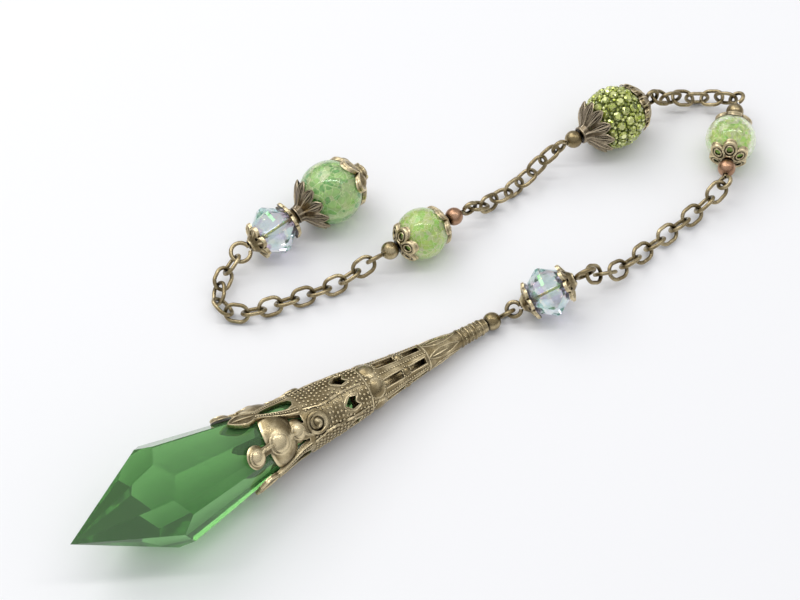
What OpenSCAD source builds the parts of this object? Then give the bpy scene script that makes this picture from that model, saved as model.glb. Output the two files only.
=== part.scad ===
// Pendulum pendant: a green cut-crystal spear in a pierced filigree cone, on a beaded cable chain.
// It lies on a flat surface. Millimetres, +Z up, +X to the right, the surface at z = 0.

/* [Crystal] */
// Width of the crystal across its corners at the widest ring
crystal_d = 15.6; // [14:0.2:17]
// Length of the pointed end, from the tip to the widest ring
crystal_point_l = 15.2; // [13:0.2:17]
// Length of the tapered body, from the widest ring to the glued end
crystal_body_l = 30; // [28:0.5:33]
// Width across the corners of the end that is glued into the cone
crystal_end_d = 3.8; // [3.4:0.1:4.2]
// Number of facets round the crystal
crystal_facets = 8; // [8]

/* [Filigree cone] */
// Length of the cone from its petal tips to its neck
cone_l = 44.5; // [43:0.5:46]
// Distance from the crystal's tip to the cone's petal tips
cone_start = 26; // [25.5:0.5:28]
// Outer width of the cone's neck
cone_neck_d = 2.2; // [2.1:0.1:2.6]
// Thickness of the cone's sheet
cone_wall = 0.5; // [0.4:0.05:0.6]
// Height of the raised work on the cone
relief_h = 0.3; // [0.25:0.05:0.4]

/* [Beads] */
// Diameter of the small crackle beads
crackle_d = 8; // [7.6:0.1:8.4]
// Diameter of the large crackle bead at the end
crackle_big_d = 10; // [9.6:0.1:10.4]
// Diameter of the stone-set bead over its stones
pave_d = 10; // [9.6:0.1:10.4]
// Corner width of one set stone
stone_d = 1.5; // [1.3:0.05:1.6]
// Height of one set stone
stone_h = 0.5; // [0.4:0.05:0.6]
// Diameter of the clear rondelles
rondelle_d = 8; // [7.6:0.1:8.4]
// Thickness of the clear rondelles
rondelle_t = 5.6; // [5.2:0.1:6]
// Diameter of the round metal spacers and of the ball on the cone
spacer_d = 2.8; // [2.6:0.1:3]

/* [Bead caps] */
// Thickness of the caps' sheet
cap_wall = 0.4; // [0.35:0.05:0.45]
// Width of the petal caps on the small crackle beads
petal_cap_d = 6.4; // [6:0.1:6.8]
// Width of the flower caps on the rondelles
flower_cap_d = 6.2; // [6:0.1:6.4]
// Width of the large leafy caps
leafy_cap_d = 9; // [8.8:0.1:9.4]
// Width of the ribbed cap on the stone-set bead
ribbed_cap_d = 7.6; // [7.2:0.1:8]
// Width of the cap at the chain's free end
end_cap_d = 8.6; // [8.2:0.1:9]

/* [Wire and chain] */
// Thickness of the pins' wire
pin_d = 0.65; // [0.55:0.05:0.7]
// Centreline radius of the loops bent in the pins
loop_r = 1.1; // [1.1:0.05:1.2]
// Centreline radius of the two larger loops
big_loop_r = 1.5; // [1.4:0.05:1.6]
// Thickness of the chain's wire
link_wire = 0.6; // [0.5:0.05:0.6]
// Outer length of a chain link
link_l = 4.1; // [4:0.05:4.2]
// Outer width of a chain link
link_w = 3.2; // [3.1:0.05:3.3]

/* [Hidden] */
$fn = 48;

// Clearances: between stacked pieces, round a wire in a bore, between interlocked wires
seat_gap = 0.05;
bore_fit = 0.1;
wire_gap = 0.25;
bore_d = pin_d + 2 * bore_fit;
eps = 0.01;
big = 60;

bronze = [0.42, 0.34, 0.2];
copper = [0.55, 0.35, 0.22];
crystal_green = [0.16, 0.5, 0.16, 0.7];
crackle_green = [0.6, 0.85, 0.45, 0.8];
deep_green = [0.4, 0.65, 0.35, 0.8];
clear_glass = [0.9, 0.92, 0.95, 0.6];
peridot = [0.55, 0.65, 0.1];
dark_clay = [0.12, 0.14, 0.08];

// Crystal: the ring where the point meets the body, the taper of both, the half facet angle
ring_r = crystal_d / 2;
end_r = crystal_end_d / 2;
crystal_l = crystal_point_l + crystal_body_l;
body_slope = (ring_r - end_r) / crystal_body_l;
point_slope = ring_r / crystal_point_l;
facet_half = 180 / crystal_facets;
glue_hole_l = 6;
glue_hole_spare = 1;
bore_sides = 24;
function body_r(t) = ring_r + body_slope * (crystal_point_l - t);

// The low corners of the zigzag ring, where an edge of the point meets a facet of the body
valley_t = cos(facet_half) * body_r(0) / (point_slope / cos(facet_half) + body_slope * cos(facet_half));
valley_r = body_r(valley_t) * cos(facet_half);

// The crystal lies on one high and one low corner of the ring, and is rolled to do so
rest_roll = atan((ring_r / valley_r - cos(facet_half)) / sin(facet_half));
rest_r = ring_r * cos(rest_roll);

// Cone: columns are the share of its length from the petal tips, and of its mouth's extra radius
CONE_PROFILE = [
    [0.00, 1.00],
    [0.20, 0.67],
    [0.31, 0.60],
    [0.43, 0.52],
    [0.54, 0.40],
    [0.66, 0.26],
    [0.79, 0.15],
    [0.90, 0.03],
    [1.00, 0.00]
];
petal_gap = 0.15;
cone_mouth_r = body_r(cone_start) + petal_gap + cone_wall;
cone_neck_r = cone_neck_d / 2;
function cone_share_r(row) = cone_neck_r + row[1] * (cone_mouth_r - cone_neck_r);
function cone_r(t, i = 0) =
    let (a = CONE_PROFILE[i], b = CONE_PROFILE[i + 1], share = t / cone_l)
    share > b[0] && i < len(CONE_PROFILE) - 2
        ? cone_r(t, i + 1)
        : cone_share_r(a) + (cone_share_r(b) - cone_share_r(a)) * (share - a[0]) / (b[0] - a[0]);

// The stamped pattern is drawn for a cone of this length, and scales with the cone's own
pattern_l = 44.5;
stamp = cone_l / pattern_l;

// Petals: spear leaves alternate with scrolls of three domes
petal_pairs = 3;
meridians = 2 * petal_pairs;
meridian_step = 360 / meridians;
petal_phase = 43;
petal_l = stamp * 10.2;
// Half outline of a spear leaf and its two strips: columns are half width and distance from its tip
SPEAR = stamp * [
    [0.0, 0.0], [0.7, 0.8], [1.15, 1.8], [1.3, 2.8], [1.05, 3.6], [0.8, 4.1],
    [0.95, 4.9], [1.4, 6.5], [1.9, 8.5], [2.4, 10.4]
];
// Half outline of the opening between its strips, with the same columns
SPEAR_SLOT = stamp * [[0.0, 4.9], [0.35, 5.6], [0.75, 7.4], [0.95, 9.2], [0.6, 10.2], [0.0, 10.5]];
// Domes of a scroll petal: columns are sideways place, distance from the tip, radius
SCROLL = stamp * [[0.1, 1.15, 1.15], [-0.15, 5.4, 1.75], [-0.1, 8.8, 1.15]];
// Arm of a scroll petal, drawn through the domes and into the body
SCROLL_ARM = stamp * [
    [-0.75, 1.0], [0.55, 1.2], [0.5, 3.6], [0.9, 5.4], [0.75, 8.0], [1.5, 9.6], [1.5, 10.6], [-0.9, 10.6],
    [-1.0, 8.6], [-1.2, 5.6], [-0.85, 3.2]
];
curl_t = stamp * 12.1;
curl_r = stamp * 1.45;
curl_wire = stamp * 0.55;
// Openings on each meridian: columns are distance from the tips, length, half width
HEART = stamp * [18.3, 2.2, 0.95];
// Outline of the opening at HEART: columns are shares of its half width and of its length
HEART_OUTLINE = [[0, -0.5], [1, 0], [0.7, 0.5], [0, 0.3], [-0.7, 0.5], [-1, 0]];
SLOTS = stamp * [[26.3, 3.4, 0.6], [30.9, 3.0, 0.45]];
// Bosses on each meridian: columns are distance from the tips, radius
BOSSES = stamp * [[23.0, 1.15], [28.7, 0.6]];
NECK_RINGS = stamp * [39.7, 41.0, 42.3, 43.6];
neck_ring_wire = stamp * 0.5;
// Shares: how far a dome spreads over its scroll, how wide the curl's middle is, how deep a neck ring sits
dome_spread = 0.9;
curl_middle = 0.5;
neck_ring_sunk = 0.2;

// Stations along the pendulum's axis, from the crystal's tip
cone_end = cone_start + cone_l;
ball_t = cone_end + seat_gap + spacer_d / 2;
cone_foot_t = ball_t + spacer_d / 2 + seat_gap + pin_d / 2;
cone_loop_t = cone_foot_t + loop_r;
cone_loop_roll = -60;
cone_loop_z = loop_r * abs(sin(cone_loop_roll)) + pin_d / 2 + eps;

// The pendulum rests on the crystal's ring and on the pin's loop, which sets its slope
rest_span = cone_loop_t - crystal_point_l;
slope_down = atan(rest_r / rest_span)
    - asin(cone_loop_z / sqrt(rest_span * rest_span + rest_r * rest_r));
tip_z = crystal_point_l * sin(slope_down) + rest_r * cos(slope_down) + eps;

// The model's origin is under the middle of its box
CENTRE = [5.954, -3.168];
// Places are read from above: [x, y, heading, pitch]; the pendulum's is that of its pin's loop
PENDULUM = [16.1, -3.36, 35.5, -slope_down];
RONDELLE_1 = [22.23, -1.33, 18, 22];
CRACKLE_1 = [52.4, 28.2, 78.3, 0];
PAVE = [34.1, 32.0, 34, 0];
CRACKLE_2 = [3.4, 9.65, 33.5, 0];
RONDELLE_2 = [-19.4, 10.2, 37.5, 0];

function aim(u) = [cos(u[2]) * cos(u[3]), sin(u[2]) * cos(u[3]), sin(u[3])];
function spot(u, z) = [u[0] - CENTRE[0], u[1] - CENTRE[1], z];
tip_at = spot(PENDULUM, tip_z - cone_loop_t * sin(slope_down)) - cone_loop_t * aim(PENDULUM);
cone_loop_at = tip_at + cone_loop_t * aim(PENDULUM);

// Stacks: distances from a bead's centre to what is threaded next to it
function pole(d, cap) = d / 2 + seat_gap + cap;
function past_spacer(p) = p + seat_gap + spacer_d;
function spacer_at(p) = p + seat_gap + spacer_d / 2;
function foot(p) = p + seat_gap + pin_d / 2;
hub_h = 1;
leafy_hub_h = 1.6;
crackle_pole = pole(crackle_d, cap_wall);
crackle_foot = foot(past_spacer(crackle_pole));
pave_left_pole = pole(pave_d, leafy_hub_h);
pave_right_pole = pole(pave_d, hub_h);
pave_left_foot = foot(past_spacer(pave_left_pole));
pave_right_foot = foot(pave_right_pole);
big_leafy_pole = pole(crackle_big_d, leafy_hub_h);
big_end_pole = pole(crackle_big_d, hub_h);

// Rondelle: a narrow girdle, and shoulders that slope to a flat table round the bore
girdle_t = 0.5;
table_share = 0.55;
table_d = table_share * rondelle_d;
rondelle_facets = 12;

// Flower caps: a shallow flange hangs just over the rondelle's table, and a hub stands up from it
flower_hub_d = 1.7;
flower_rise = 1.1;
flower_flange_share = 0.5;
flower_flange_rise = 0.35;
flower_rim_drop = 0.2;
flower_spare = 0.05;
flower_lobes = 8;
flower_lobe_share = 0.3;
flute_at = 0.78;
flute_sunk = 0.2;
flute_d = 0.5;
flute_l = 1.6;
flute_lean = 110;
rondelle_pole = rondelle_t / 2 + flower_rise + cap_wall;
rondelle_foot = foot(rondelle_pole);
rondelle_to_big = rondelle_pole + seat_gap + big_leafy_pole;
head_t = 0.4;
head_d = 1.6;

// Petal caps: petals round a hub, each with a raised rim, a sunk face and a hole
petals = 6;
petal_step = 360 / petals;
petal_share = 0.19;
petal_r = petal_cap_d * petal_share;
petal_at = petal_cap_d / 2 - petal_r;
petal_hub_share = 0.8;
petal_face_share = 0.55;
petal_rim = 0.36;
petal_hole_r = 0.5;
petal_low = 1;

// Leafy caps: columns of the bell are shares of its half width and of its height
LEAFY_BELL = [[1, 0], [0.89, 0.185], [0.69, 0.415], [0.48, 0.585], [0.33, 0.725], [0.27, 1]];
leafy_low = 3.4;
leaves = 11;
leaf_step = 360 / leaves;
leaf_phase = 0.3;
// Notch between two leaves: outline from below the rim to its point
LEAF_NOTCH = [
    [-0.95, -1], [0.95, -1], [0.95, 0.12], [0.55, 0.42], [0.2, 0.8], [0, 1.15],
    [-0.2, 0.8], [-0.55, 0.42], [-0.95, 0.12]
];
// Two grooves on each leaf
vein_side = 0.19;
vein_out = 0.381;
vein_up = 1.07;
vein_d = 0.4;
vein_l = 3.2;
vein_lean = 51;

// Ribbed cap: a bell with the same columns, a scalloped rim and grooves
RIBBED_BELL = [[1.06, 0], [1.07, 0.18], [0.84, 0.55], [0.5, 0.93], [0.3, 1]];
ribbed_low_share = 0.66;
ribbed_lobes = 9;
ribbed_phase = 0.3;
ribbed_lobe_share = 0.3;
ribbed_lobe_overlap = 0.8;
ribs = 18;
rib_up = 0.62;
rib_d = 0.45;
rib_l = 3;
rib_lean = 55;

// End cap: broad petals, domes on every other one and grooves on the rest, a hub of two end shares
broad_share = 0.36;
broad_hub_share = 0.9;
broad_dome_r = 1.4;
broad_dome_sunk = 0.95;
END_HUB = [0.55, 0.35];
groove_out = 0.7;
groove_step = 0.75;
groove_up = 0.86;
groove_d = 0.35;
groove_l = 5;
groove_lean = 128;

// Beads lie on the surface, with the rims of their caps clear of it
big_z = max(crackle_big_d / 2, leafy_cap_d / 2) + eps;
pave_z = max(pave_d / 2, leafy_cap_d / 2) + eps;
crackle_z = crackle_d / 2 + eps;
end_pitch = asin((big_z - rondelle_d / 2) / rondelle_to_big);
END = [RONDELLE_2[0], RONDELLE_2[1], RONDELLE_2[2], end_pitch];
function lowest(r, t, pitch) = r * cos(pitch) + t * sin(pitch) + eps;
function rim_z(pitch) = max(
    lowest(rondelle_d / 2, girdle_t / 2, pitch),
    lowest(flower_cap_d / 2, rondelle_t / 2 - flower_rim_drop + cap_wall, pitch)
);
rondelle_1_at = spot(RONDELLE_1, rim_z(RONDELLE_1[3]));
crackle_1_at = spot(CRACKLE_1, crackle_z);
pave_at = spot(PAVE, pave_z);
crackle_2_at = spot(CRACKLE_2, crackle_z);
rondelle_2_at = spot(END, rim_z(end_pitch));
big_at = rondelle_2_at + rondelle_to_big * aim(END);

// Rolls of the loops about their pins; a loop at 0 lies flat when its pin is level
RONDELLE_1_ROLLS = [30, -70];
CRACKLE_1_ROLLS = [-40, -30];
PAVE_ROLLS = [-90, 80];
CRACKLE_2_ROLLS = [-60, -90];
END_ROLL = 20;

// Rolls of the first links about the chains' lines
A_ROLL = -50;
B_ROLL = -10;
C_ROLL = -70;
D_ROLL = 40;

// Centres of the loops that the chains hang in
a_start = rondelle_1_at + (rondelle_foot + big_loop_r) * aim(RONDELLE_1);
a_end = crackle_1_at - (crackle_foot + loop_r) * aim(CRACKLE_1);
b_start = crackle_1_at + (crackle_foot + loop_r) * aim(CRACKLE_1);
b_end = pave_at + (pave_right_foot + loop_r) * aim(PAVE);
c_start = pave_at - (pave_left_foot + loop_r) * aim(PAVE);
c_end = crackle_2_at + (crackle_foot + loop_r) * aim(CRACKLE_2);
d_start = crackle_2_at - (crackle_foot + loop_r) * aim(CRACKLE_2);
d_end = rondelle_2_at - (rondelle_foot + big_loop_r) * aim(END);

// Chain links: a stadium of round wire
bend_r = (link_w - link_wire) / 2;
link_straight = link_l - link_w;
link_reach = (link_l - link_wire) / 2;
link_pitch = 2.66;

// Points chosen along each chain's way between its two loops: [x, y, z]
ROUTE_A = [[30.2, 2.1, 3.7], [33.5, 4.2, 2.05], [39.6, 9.8, 1.47], [46.3, 15.7, 1.67], [48.9, 17.8, 2.9]];
ROUTE_B = [[51.6, 38.2, 2.5], [48.2, 38.9, 1.7], [44.6, 38.4, 2.2]];
ROUTE_C = [[22.6, 24.8, 3.3], [19.1, 21.4, 1.55], [14, 17.2, 1.85]];
ROUTE_D = [
    [-6.7, 3.2, 2.7], [-9.2, 2, 1.5], [-13.3, 0.1, 1.45], [-22.7, -3.4, 1.45], [-25.7, -3.5, 1.5],
    [-27.4, -1.7, 1.8], [-27.3, 1.2, 2], [-26.5, 3.2, 2.4]
];
function way(route) = [for (p = route) [p[0] - CENTRE[0], p[1] - CENTRE[1], p[2]]];

// Walking along a line of points
function length_of(p, i = 0) = i >= len(p) - 1 ? 0 : norm(p[i + 1] - p[i]) + length_of(p, i + 1);
function point_at(p, s, i = 0) =
    let (step = norm(p[i + 1] - p[i]))
    s <= step || i >= len(p) - 2 ? p[i] + (p[i + 1] - p[i]) * s / step : point_at(p, s - step, i + 1);
function toward(a, b) = (b - a) / norm(b - a);

// Centre of a chain's outer link, measured from the centre of the loop that it hangs in
function hook(r) = r + link_reach - (link_wire + pin_d) / 2 - wire_gap;
function line_of(start, start_r, route, stop, stop_r) =
    let (way = way(route), last = way[len(way) - 1])
    concat(
        [start + hook(start_r) * toward(start, way[0])],
        way,
        [stop + hook(stop_r) * toward(stop, last)]
    );
line_a = line_of(a_start, big_loop_r, ROUTE_A, a_end, loop_r);
line_b = line_of(b_start, loop_r, ROUTE_B, b_end, loop_r);
line_c = line_of(c_start, loop_r, ROUTE_C, c_end, loop_r);
line_d = line_of(d_start, loop_r, ROUTE_D, d_end, big_loop_r);

// Link centres along a chain's line, with the loop centres before the first and after the last
function stations(start, line, stop) =
    let (total = length_of(line), n = round(total / link_pitch))
    concat([start], [for (k = [0:n]) point_at(line, total * k / n)], [stop]);
a_stations = stations(a_start, line_a, a_end);
b_stations = stations(b_start, line_b, b_end);
c_stations = stations(c_start, line_c, c_end);
d_stations = stations(d_start, line_d, d_end);

// Set stones: rows from the equator to near the bead's poles
stone_gap = 0.12;
stone_row_step = 20;
stone_rows = 3;
stone_seat_r = pave_d / 2 - stone_h;
stone_table = 0.6;
stone_facets = 8;
clay_r = stone_seat_r - seat_gap;

// Placing a threaded piece: its own +Z runs along the pin, its own +X points down when level
module thread(at, u) {
    translate(at) rotate([0, 90 - u[3], u[2]]) children();
}

module pendulum() {
    thread(tip_at, PENDULUM) children();
}

module low_side() {
    mirror([0, 0, 1]) children();
}

// A shape drawn on a meridian of a piece: its +Y runs along the axis, it is pushed out along +X
module outward(angle, from = 0) {
    rotate([0, 0, angle]) translate([from, 0, 0]) rotate([90, 0, 90]) linear_extrude(height = big) children();
}

module ring(r, wire) {
    rotate_extrude() translate([r, 0]) circle(d = wire);
}

// The open loop bent at the end of a wire
module eye(foot_at, r, roll) {
    eye_turn = 335;
    translate([0, 0, foot_at + r]) rotate([0, 0, roll]) rotate([0, 90, 0])
        rotate_extrude(angle = eye_turn) translate([r, 0]) circle(d = pin_d);
}

module wire(low, high) {
    translate([0, 0, low]) cylinder(h = high - low, d = pin_d);
}

module link() {
    for (side = [-1, 1]) {
        translate([side * link_straight / 2, 0, 0])
            rotate([0, 0, -90 * side])
                rotate_extrude(angle = 180) translate([bend_r, 0]) circle(d = link_wire);
        translate([-link_straight / 2, side * bend_r, 0])
            rotate([0, 90, 0]) cylinder(h = link_straight, d = link_wire);
    }
}

// Links alternate between two rolls a quarter turn apart
module chain(stations, roll) {
    for (k = [1:len(stations) - 2]) {
        run = stations[k + 1] - stations[k - 1];
        flat_run = norm([run[0], run[1]]);
        translate(stations[k])
            rotate([roll + 90 * (k % 2), -atan2(run[2], flat_run), atan2(run[1], run[0])])
                link();
    }
}

// Crystal

module crystal_point() {
    color(crystal_green) pendulum() rotate([0, 0, rest_roll]) difference() {
        intersection() {
            cylinder(h = crystal_l, r1 = body_r(0), r2 = end_r, $fn = crystal_facets);
            rotate([0, 0, facet_half])
                cylinder(
                    h = crystal_l,
                    r1 = 0,
                    r2 = point_slope * crystal_l / cos(facet_half),
                    $fn = crystal_facets
                );
        }
        translate([0, 0, crystal_l - glue_hole_l])
            cylinder(h = glue_hole_l + eps, d = bore_d, $fn = bore_sides);
    }
}

// Filigree cone, modelled from its petal tips at z = 0 to its neck

module cone_body() {
    outer = [for (row = CONE_PROFILE) [cone_share_r(row), row[0] * cone_l]];
    rotate_extrude() polygon(concat([[0, 0]], outer, [[0, cone_l]]));
}

module cone_hollow() {
    inner = [for (row = CONE_PROFILE) [cone_share_r(row) - cone_wall, row[0] * cone_l]];
    neck = cone_neck_r - cone_wall;
    rotate_extrude() polygon(concat([[0, -1], [cone_mouth_r - cone_wall, -1]], inner, [
        [neck, cone_l + 1],
        [0, cone_l + 1]
    ]));
}

// A shallow dome standing out of the cone's sheet
module boss(angle, side, t, r, h = relief_h) {
    ball_r = (r * r + h * h) / (2 * h);
    rotate([0, 0, angle]) translate([cone_r(t) + h - ball_r, side, t]) sphere(r = ball_r);
}

// An outline and its mirror image, from a half that starts on the middle line
module both_halves(half) {
    mirrored = [for (i = [len(half) - 1:-1:1]) if (half[i][0] > 0) [-half[i][0], half[i][1]]];
    polygon(concat(half, mirrored));
}

module scroll_outline() {
    for (d = SCROLL) translate([d[0], d[1]]) circle(r = d[2]);
    polygon(SCROLL_ARM);
}

module heart_outline() {
    polygon([for (p = HEART_OUTLINE) [p[0] * HEART[2], p[1] * HEART[1]]]);
}

module cone_sheet() {
    intersection() {
        cone_body();
        union() {
            translate([0, 0, petal_l]) cylinder(h = cone_l, r = big);
            for (k = [0:petal_pairs - 1]) {
                outward(petal_phase + 2 * k * meridian_step) both_halves(SPEAR);
                outward(petal_phase + (2 * k + 1) * meridian_step) scroll_outline();
            }
        }
    }
}

module cone_relief() {
    for (k = [0:petal_pairs - 1]) {
        angle = petal_phase + (2 * k + 1) * meridian_step;
        for (d = SCROLL) boss(angle, d[0], d[1], d[2] * dome_spread);
        rotate([0, 0, angle]) translate([cone_r(curl_t), 0, curl_t])
            rotate([0, 90, 0]) ring(curl_r, curl_wire);
        boss(angle, 0, curl_t, curl_r * curl_middle);
    }
    for (k = [0:meridians - 1]) {
        for (b = BOSSES) boss(petal_phase + k * meridian_step, 0, b[0], b[1]);
    }
    for (t = NECK_RINGS)
        translate([0, 0, t]) ring(cone_r(t) - neck_ring_wire * neck_ring_sunk, neck_ring_wire);
}

module filigree_cone() {
    color(bronze) pendulum() translate([0, 0, cone_start]) difference() {
        union() {
            cone_sheet();
            cone_relief();
        }
        cone_hollow();
        for (k = [0:meridians - 1]) {
            angle = petal_phase + k * meridian_step;
            outward(angle) translate([0, HEART[0]]) heart_outline();
            for (s = SLOTS) outward(angle) translate([-s[2], s[0] - s[1] / 2]) square([2 * s[2], s[1]]);
        }
        for (k = [0:petal_pairs - 1]) outward(petal_phase + 2 * k * meridian_step) both_halves(SPEAR_SLOT);
    }
}

module drilled_ball(d) {
    difference() {
        sphere(d = d);
        translate([0, 0, -d]) cylinder(h = 2 * d, d = bore_d);
    }
}

module cone_ball() {
    color(bronze) pendulum() translate([0, 0, ball_t]) drilled_ball(spacer_d);
}

module cone_pin() {
    color(bronze) pendulum() {
        wire(crystal_l - glue_hole_l + glue_hole_spare, cone_foot_t);
        eye(cone_foot_t, loop_r, cone_loop_roll);
    }
}

// Rondelles and their flower caps

module rondelle() {
    difference() {
        hull() {
            for (side = [-1, 1]) {
                translate([0, 0, side * (rondelle_t / 2 - eps) - eps / 2])
                    cylinder(h = eps, d = table_d, $fn = rondelle_facets);
                rotate([0, 0, 180 / rondelle_facets]) translate([0, 0, side * girdle_t / 2 - eps / 2])
                    cylinder(h = eps, d = rondelle_d, $fn = rondelle_facets);
            }
        }
        translate([0, 0, -rondelle_t]) cylinder(h = 2 * rondelle_t, d = bore_d, $fn = bore_sides);
    }
}

// A hat above the rondelle's table, its brim cut to a scalloped rim with grooves between the lobes
module flower_cap() {
    rim_r = flower_cap_d / 2;
    lobe_r = rim_r * flower_lobe_share;
    lobe_step = 360 / flower_lobes;
    hub_r = flower_hub_d / 2;
    flange_r = rim_r * flower_flange_share;
    top = rondelle_t / 2 + flower_rise;
    flange = rondelle_t / 2 + flower_flange_rise;
    rim = rondelle_t / 2 - flower_rim_drop;
    difference() {
        intersection() {
            rotate_extrude() polygon([
                [bore_d / 2, top],
                [hub_r, top],
                [flange_r, flange],
                [rim_r + flower_spare, rim],
                [rim_r + flower_spare, rim + cap_wall],
                [flange_r + cap_wall / 2, flange + cap_wall],
                [hub_r + cap_wall / 2, top + cap_wall],
                [bore_d / 2, top + cap_wall]
            ]);
            linear_extrude(height = big) {
                circle(r = rim_r - lobe_r);
                for (i = [0:flower_lobes - 1])
                    rotate(i * lobe_step) translate([rim_r - lobe_r, 0]) circle(r = lobe_r);
            }
        }
        for (i = [0:flower_lobes - 1]) {
            rotate([0, 0, (i + 0.5) * lobe_step])
                translate([rim_r * flute_at, 0, flange + cap_wall - flute_sunk])
                    rotate([0, flute_lean, 0]) cylinder(h = flute_l, d = flute_d, center = true);
        }
    }
}

// Crackle beads and their looped petal caps

module dome(d, wall, low) {
    inner_r = d / 2 + seat_gap;
    intersection() {
        difference() {
            sphere(r = inner_r + wall);
            sphere(r = inner_r);
        }
        translate([0, 0, low]) cylinder(h = big, r = big);
    }
}

module petal_discs(r) {
    for (i = [0:petals - 1]) rotate(i * petal_step) translate([petal_at, 0]) circle(r = r);
}

module petal_cap(d) {
    difference() {
        intersection() {
            dome(d, cap_wall, petal_low);
            linear_extrude(height = big) {
                circle(r = petal_at * petal_hub_share);
                petal_discs(petal_r);
            }
        }
        intersection() {
            difference() {
                sphere(r = d);
                sphere(r = d / 2 + seat_gap + cap_wall * petal_face_share);
            }
            linear_extrude(height = big) petal_discs(petal_r - petal_rim);
        }
        linear_extrude(height = big) petal_discs(petal_hole_r);
        cylinder(h = big, d = bore_d);
    }
}

// Large caps: a thick bell round the bead, cut into leaves or ribs

// A bell between two heights, drawn by shares of its width and of its height
module bell(outline, d, low, top) {
    rotate_extrude() polygon(concat(
        [[0, low]],
        [for (p = outline) [p[0] * d / 2, low + p[1] * (top - low)]],
        [[0, top]]
    ));
}

module leafy_cap(d) {
    difference() {
        bell(LEAFY_BELL, leafy_cap_d, leafy_low, pole(d, leafy_hub_h));
        sphere(r = d / 2 + seat_gap);
        cylinder(h = big, d = bore_d);
        for (i = [0:leaves - 1]) {
            outward((i + leaf_phase) * leaf_step, d / 4) translate([0, leafy_low]) polygon(LEAF_NOTCH);
            for (side = [-1, 1]) {
                rotate([0, 0, (i + leaf_phase + 0.5 + vein_side * side) * leaf_step])
                    translate([leafy_cap_d * vein_out, 0, leafy_low + vein_up])
                        rotate([0, -vein_lean, 0]) cylinder(h = vein_l, d = vein_d, center = true);
            }
        }
    }
}

module ribbed_cap(d) {
    rim_r = ribbed_cap_d / 2;
    lobe_r = rim_r * ribbed_lobe_share;
    top = pole(d, hub_h);
    low = (d / 2 + seat_gap) * ribbed_low_share;
    difference() {
        intersection() {
            bell(RIBBED_BELL, ribbed_cap_d, low, top);
            linear_extrude(height = big) {
                circle(r = rim_r - lobe_r * ribbed_lobe_overlap);
                for (i = [0:ribbed_lobes - 1])
                    rotate((i + ribbed_phase) * 360 / ribbed_lobes)
                        translate([rim_r - lobe_r, 0]) circle(r = lobe_r);
            }
        }
        sphere(r = d / 2 + seat_gap);
        cylinder(h = big, d = bore_d);
        for (i = [0:ribs - 1]) {
            rotate([0, 0, (i + 2 * ribbed_phase + 0.5) * 360 / ribs])
                translate([rim_r, 0, low + (top - low) * rib_up])
                    rotate([0, -rib_lean, 0]) cylinder(h = rib_l, d = rib_d, center = true);
        }
    }
}

// The free end's cap: broad petals, every other one domed, the rest ribbed
module end_cap(d) {
    rim_r = end_cap_d / 2;
    broad_r = rim_r * broad_share;
    broad_at = rim_r - broad_r;
    shell_r = d / 2 + seat_gap + cap_wall;
    difference() {
        union() {
            intersection() {
                sphere(r = shell_r);
                linear_extrude(height = big) {
                    circle(r = broad_at * broad_hub_share);
                    for (i = [0:petals - 1])
                        rotate(i * petal_step) translate([broad_at, 0]) circle(r = broad_r);
                }
                translate([0, 0, petal_low]) cylinder(h = big, r = big);
            }
            for (i = [0:2:petals - 1]) {
                rotate([0, asin(broad_at / shell_r), i * petal_step])
                    translate([0, 0, shell_r - broad_dome_sunk]) sphere(r = broad_dome_r);
            }
            cylinder(h = pole(d, hub_h), r1 = rim_r * END_HUB[0], r2 = rim_r * END_HUB[1]);
        }
        sphere(r = d / 2 + seat_gap);
        cylinder(h = big, d = bore_d);
        for (i = [1:2:petals - 1]) {
            for (side = [-1, 0, 1]) {
                rotate([0, 0, i * petal_step])
                    translate([broad_at * groove_out, side * groove_step, shell_r * groove_up])
                        rotate([0, groove_lean, 0]) cylinder(h = groove_l, d = groove_d, center = true);
            }
        }
    }
}

// Stone-set bead

module stones() {
    for (row = [-stone_rows:stone_rows]) {
        tilt = row * stone_row_step;
        n = floor(2 * PI * stone_seat_r * cos(tilt) / (stone_d + stone_gap));
        for (i = [0:n - 1]) {
            rotate([0, 0, (i + 0.5 * (abs(row) % 2)) * 360 / n]) rotate([0, 90 - tilt, 0])
                translate([0, 0, stone_seat_r]) rotate([0, 0, 180 / stone_facets])
                    cylinder(h = stone_h, d1 = stone_d, d2 = stone_d * stone_table, $fn = stone_facets);
        }
    }
}

// Nodes, in the order in which they are threaded

module rondelle_1() {
    color(clear_glass) thread(rondelle_1_at, RONDELLE_1) rondelle();
}

module rondelle_1_cap_a() {
    color(bronze) thread(rondelle_1_at, RONDELLE_1) low_side() flower_cap();
}

module rondelle_1_cap_b() {
    color(bronze) thread(rondelle_1_at, RONDELLE_1) flower_cap();
}

module rondelle_1_pin() {
    color(bronze) thread(rondelle_1_at, RONDELLE_1) {
        wire(-rondelle_foot, rondelle_foot);
        low_side() eye(rondelle_foot, loop_r, RONDELLE_1_ROLLS[0]);
        eye(rondelle_foot, big_loop_r, RONDELLE_1_ROLLS[1]);
    }
}

module chain_a() {
    color(bronze) chain(a_stations, A_ROLL);
}

module crackle_1() {
    color(crackle_green) thread(crackle_1_at, CRACKLE_1) drilled_ball(crackle_d);
}

module crackle_1_cap_a() {
    color(bronze) thread(crackle_1_at, CRACKLE_1) low_side() petal_cap(crackle_d);
}

module crackle_1_cap_b() {
    color(bronze) thread(crackle_1_at, CRACKLE_1) petal_cap(crackle_d);
}

module crackle_1_spacer_a() {
    color(copper) thread(crackle_1_at, CRACKLE_1)
        low_side() translate([0, 0, spacer_at(crackle_pole)]) drilled_ball(spacer_d);
}

module crackle_1_spacer_b() {
    color(bronze) thread(crackle_1_at, CRACKLE_1)
        translate([0, 0, spacer_at(crackle_pole)]) drilled_ball(spacer_d);
}

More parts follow.
